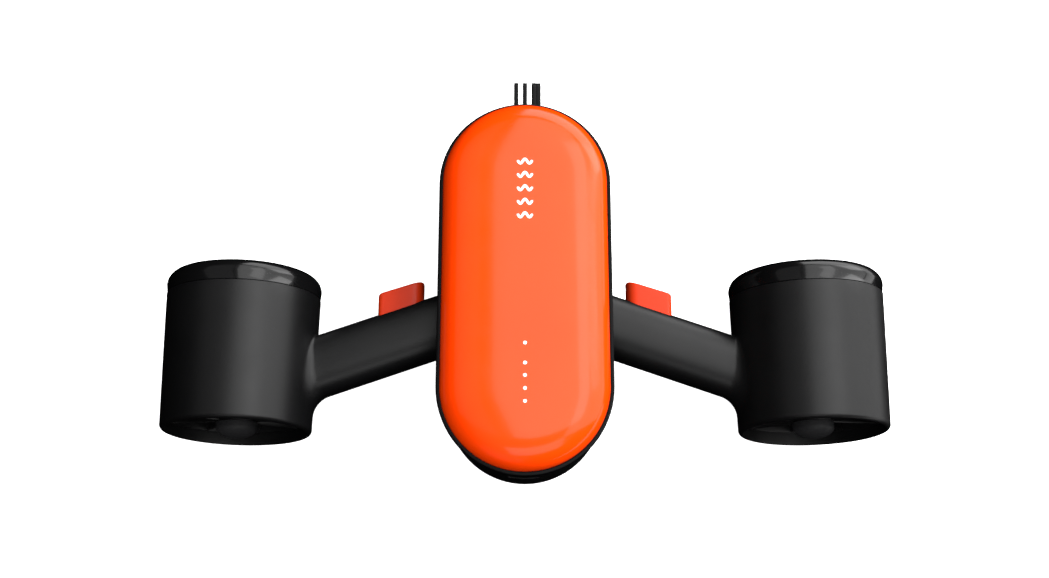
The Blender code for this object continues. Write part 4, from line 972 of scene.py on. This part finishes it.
def build_spring(word):
    """Return spring behind the trigger."""
    wire, coil, turns, steps, wire_steps = 0.0005, 0.0039, 4, 28, 10
    low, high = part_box(f"trigger_spring_{word}")
    middle_x, middle_z = (low.x + high.x) / 2, AXIS_Z
    editor = bmesh.new()
    rows = []
    for index in range(turns * steps + 1):
        angle = 2 * pi * index / steps
        y = high.y - wire - (high.y - low.y - 2 * wire) * index / (turns * steps)
        out = Vector((cos(angle), 0, sin(angle)))
        centre = Vector((middle_x, y, middle_z)) + out * coil
        row = []
        for k in range(wire_steps):
            turn = 2 * pi * k / wire_steps
            row.append(centre + out * wire * cos(turn) + Vector((0, wire * sin(turn), 0)))
        rows.append(row)
    capped_skin(editor, rows)
    spring = piece_from(f"return_spring_{word}", editor, "hull", "stainless_steel")
    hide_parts(f"trigger_spring_{word}")
    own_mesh(spring)


# ---------- camera mount, latch and screws

def mount_part(outline, low, high, edge, *cutters):
    """One closed body of the camera mount, with its holes cut."""
    editor = bmesh.new()
    slab(editor, outline, low, high, X_AXIS, edge)
    part = plain_object("mount_part", editor)
    cut(part, *cutters)
    return part


def build_camera_mount():
    """Three pierced fingers on a rounded base plate, with the nut in its pocket."""
    pivot_y, pivot_z = MOUNT_HIGH.y - FINGER_R, (MOUNT_LOW.z + MOUNT_HIGH.z) / 2
    plate_front, sunk, pivot_r, reach = MOUNT_LOW.y + 0.0044, 0.001, 0.0025, 0.02
    pocket_depth, pocket_r, nut_r, nut_bore_r = 0.0031, 0.0050, 0.0046, 0.0023

    def bore(radius):
        editor = bmesh.new()
        rod(editor, (-reach, pivot_y, pivot_z), (reach, pivot_y, pivot_z), radius, 40)
        return plain_object("cutter", editor)

    editor = bmesh.new()
    plate = rectangle(MOUNT_LOW.x, MOUNT_LOW.z, -MOUNT_LOW.x, MOUNT_HIGH.z)
    slab(editor, rounded(plate, 0.0030, steps=6), MOUNT_LOW.y, plate_front, Y_AXIS, 0.0008)
    parts = [plain_object("mount_plate", editor)]
    finger = [(plate_front - sunk, pivot_z - FINGER_R)]
    finger += arc((pivot_y, pivot_z), (FINGER_R, FINGER_R), -90, 90, 28)
    finger.append((plate_front - sunk, pivot_z + FINGER_R))
    for index in (-1, 0, 1):
        left, right = index * FINGER_PITCH - FINGER_HALF, index * FINGER_PITCH + FINGER_HALF
        parts.append(mount_part(finger, left, right, 0.0003, bore(pivot_r)))
    boss_start, boss_end, boss_share = 0.0070, MOUNT_HIGH.x, 0.94
    pocket = bmesh.new()
    rod(pocket, (boss_end - pocket_depth, pivot_y, pivot_z), (reach, pivot_y, pivot_z), pocket_r, 6)
    pocket = plain_object("cutter", pocket)
    boss = [(y, pivot_z + boss_share * (z - pivot_z)) for y, z in finger]
    parts.append(mount_part(boss, boss_start, boss_end, 0.0005, pocket, bore(pivot_r)))
    editor = bmesh.new()
    for part in parts:
        editor.from_mesh(part.data)
        bpy.data.objects.remove(part, do_unlink=True)
    mount = piece_from("camera_fingers", editor, "hull", "satin_black", 35, MOUNT_FINISH, False)
    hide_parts("camera_mount")
    editor = bmesh.new()
    hexagon = arc((pivot_y, pivot_z), (nut_r, nut_r), 0, 300, 5)
    slab(editor, hexagon, boss_end - pocket_depth + 0.0001, boss_end - GAP, X_AXIS, 0.0003, 2)
    nut = piece_from("mount_nut", editor, "hull", "stainless_steel", 30)
    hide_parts("camera_mount_nut")
    cut(nut, bore(nut_bore_r))


def build_latch():
    """Push latch in the tail wall, with grip ribs, a flange behind the wall and a stem."""
    corner, ribs, rib_pitch, rib_half, proud, stem_half = 0.0022, 5, 0.0032, 0.0006, 0.0006, 0.0060
    back, stem_inset, edge = LATCH_LOW.y, 0.0020, 0.0004
    editor = bmesh.new()
    button = rounded(rectangle(-BUTTON_HALF, BUTTON_LOW, BUTTON_HALF, BUTTON_HIGH), corner, steps=6)
    slab(editor, button, back + proud, back + 0.0054, Y_AXIS, 0.0006)
    for index in range(ribs):
        x = (index - ribs // 2) * rib_pitch
        rib = rectangle(x - rib_half, BUTTON_LOW + corner, x + rib_half, BUTTON_HIGH - corner)
        slab(editor, rounded(rib, rib_half), back, back + 2 * proud, Y_AXIS, edge)
    flange = rectangle(LATCH_LOW.x, LATCH_LOW.z, LATCH_HIGH.x, LATCH_HIGH.z)
    slab(editor, flange, back + 0.0044, back + 0.0060, Y_AXIS)
    stem = rectangle(-stem_half, BUTTON_LOW + stem_inset, stem_half, BUTTON_HIGH - stem_inset)
    slab(editor, stem, back + 0.0050, LATCH_HIGH.y, Y_AXIS, edge)
    latch = piece_from("latch_button", editor, "battery_latch", "satin_black", 35)
    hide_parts("battery_latch")


def screw_mesh(name, radius, height):
    """A pan-head screw with a cross recess, its head's top at the origin, looking along +Z."""
    half_length, half_width, recess, steps = radius * 0.58, radius * 0.13, height * 0.65, 32
    corners = [(radius * 0.8, -height), (radius, -height * 0.6), (radius * 0.82, -height * 0.12), (0, 0)]
    section = [(0, -height)] + rounded(corners, (0, radius * 0.2, radius * 0.3, 0), closed=False)
    rows = []
    for index in range(steps):
        angle = 2 * pi * index / steps
        rows.append([(r * cos(angle), r * sin(angle), z) for r, z in section])
    editor = bmesh.new()
    skin(editor, rows, wrap_rows=True)
    screw = plain_object(name, editor, 35)
    cutters = []
    for turn in (0, pi / 2):
        arm = bmesh.new()
        corners = rectangle(-half_length, -half_width, half_length, half_width)
        slab(arm, corners, -recess, height, Z_AXIS)
        bmesh.ops.rotate(arm, verts=arm.verts, cent=(0, 0, 0), matrix=Matrix.Rotation(turn, 3, "Z"))
        cutters.append(plain_object("cutter", arm))
    cut(screw, *cutters)
    mesh = screw.data
    mesh.materials.clear()
    mesh.materials.append(FINISH["stainless_steel"])
    bpy.data.objects.remove(screw, do_unlink=True)
    return mesh


def place_screws():
    """Screws in the belly's wells and under the arms, heads down."""
    belly_z, arm_z = 0.0006, AXIS_Z - ARM_HALF_HEIGHT + 0.0005
    belly = screw_mesh("belly_screw", 0.0032, 0.0014)
    for index, (x, y) in enumerate(belly_screws()):
        place_screw(f"belly_screw_{index + 1}", belly, (x, y, belly_z), 0.7 * index)
    small = screw_mesh("arm_screw", 0.0023, 0.0010)
    for word, side in SIDES.items():
        for index, (x, y) in enumerate(arm_screws(side)):
            place_screw(f"arm_screw_{word}_{index + 1}", small, (x, y, arm_z), 0.4 + index)


def place_screw(name, mesh, place, turn):
    """One screw in its well, head down, with its recess turned by an angle."""
    screw = bpy.data.objects.new(name, mesh)
    bpy.context.scene.collection.objects.link(screw)
    down = Matrix.Rotation(pi, 4, "X")
    screw.matrix_world = Matrix.Translation(place) @ Matrix.Rotation(turn, 4, "Z") @ down
    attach(screw, "hull")


# ---------- CAD nodes that stay

def finish_shown_nodes():
    """Give every CAD node that is shown the procedural finish of its slot."""
    slots = {part["node"]: part["material_slot"] for part in frame["record"]["subparts"]}
    for name, node in frame["nodes"].items():
        node.data.materials.clear()
        node.data.materials.append(FINISH[slots[name]])


# ---------- studio

def build_floor():
    """Pale floor that glows softly for the camera and leaves the object's own reflections alone."""
    made, tree, shader = material("pale_floor")
    vary_colour(tree, shader, noise_node(tree, 1.5), (0.90, 0.90, 0.90), (0.92, 0.92, 0.92))
    shader.inputs["Roughness"].default_value = 0.9
    shader.inputs["Specular IOR Level"].default_value = 0.1
    shader.inputs["Emission Color"].default_value = (1, 1, 1, 1)
    shader.inputs["Emission Strength"].default_value = 1.0
    editor = bmesh.new()
    bmesh.ops.create_grid(editor, x_segments=8, y_segments=8, size=40.0)
    floor = plain_object("floor", editor)
    floor.data.materials.append(made)
    floor.location.z = -GAP
    floor.visible_glossy = False
    floor.visible_diffuse = False


def soft_box(name, place, target, size, power_watts, mirrored=True):
    """A soft box aimed at a point; one that isn't mirrored lights surfaces without showing in gloss."""
    data = bpy.data.lights.new(name, "AREA")
    data.shape = "RECTANGLE"
    data.size, data.size_y = size
    data.energy = power_watts
    light = bpy.data.objects.new(name, data)
    bpy.context.scene.collection.objects.link(light)
    light.location = place
    light.rotation_euler = (Vector(target) - Vector(place)).to_track_quat("-Z", "Y").to_euler()
    light.visible_glossy = mirrored


def build_studio():
    """Six soft boxes round the scooter, three more that don't show in gloss, and a white surround."""
    bpy.context.scene.view_settings.view_transform = "Standard"
    world = bpy.data.worlds.new("studio")
    bpy.context.scene.world = world
    world.use_nodes = True
    background = world.node_tree.nodes["Background"]
    background.inputs["Color"].default_value = (1, 1, 1, 1)
    background.inputs["Strength"].default_value = 0.9
    world.cycles_visibility.glossy = False
    world.cycles_visibility.diffuse = False
    middle = (0.0, 0.0, 0.05)
    soft_box("right", (2.0, 0.4, 1.5), middle, (3.4, 3.3), 40)
    soft_box("overhead", (0.68, 1.2, 2.1), (0.68, 1.2, 0), (1.7, 3.6), 25)
    soft_box("overhead_left", (-1.47, 1.0, 2.0), (-1.47, 1.0, 0), (2.1, 3.4), 3.5)
    soft_box("front", (1.9, 3.0, 0.95), middle, (4.6, 2.2), 68)
    soft_box("right_low", (1.65, 0.3, 0.0), (1.65, 0.3, 1), (2.4, 3.0), 26)
    soft_box("behind", (0.3, -1.5, 1.7), middle, (1.6, 0.8), 4)
    soft_box("side_colour", (1.5, 0.5, 1.3), middle, (0.8, 0.8), 60, mirrored=False)
    soft_box("ceiling", (0.0, 0.0, 3.2), middle, (6.0, 6.0), 120, mirrored=False)
    soft_box("tail_fill", (-0.8, -2.2, 0.8), middle, (1.6, 1.2), 16, mirrored=False)


def build_camera():
    """The camera stands high above the tail and looks down, a little to the front."""
    data = bpy.data.cameras.new("view")
    data.sensor_fit = "HORIZONTAL"
    data.sensor_width = 36.0
    data.lens = 41.446
    camera = bpy.data.objects.new("view", data)
    bpy.context.scene.collection.objects.link(camera)
    camera.location = (-0.0003, -0.2329, 0.8556)
    camera.rotation_euler = (radians(15.709), 0, 0)
    bpy.context.scene.camera = camera


# ---------- build

finish_shown_nodes()
build_tub()
build_rim()
build_cover()
build_tray()
build_lights()
build_emblem()
for side_word, side_sign in SIDES.items():
    build_thruster_shell(side_word, side_sign)
    build_front_ring(side_word, side_sign)
    build_stator(side_word, side_sign)
    build_propeller(side_word, side_sign)
    build_trigger(side_word, side_sign)
    build_spring(side_word)
build_camera_mount()
build_latch()
place_screws()
build_floor()
build_studio()
build_camera()
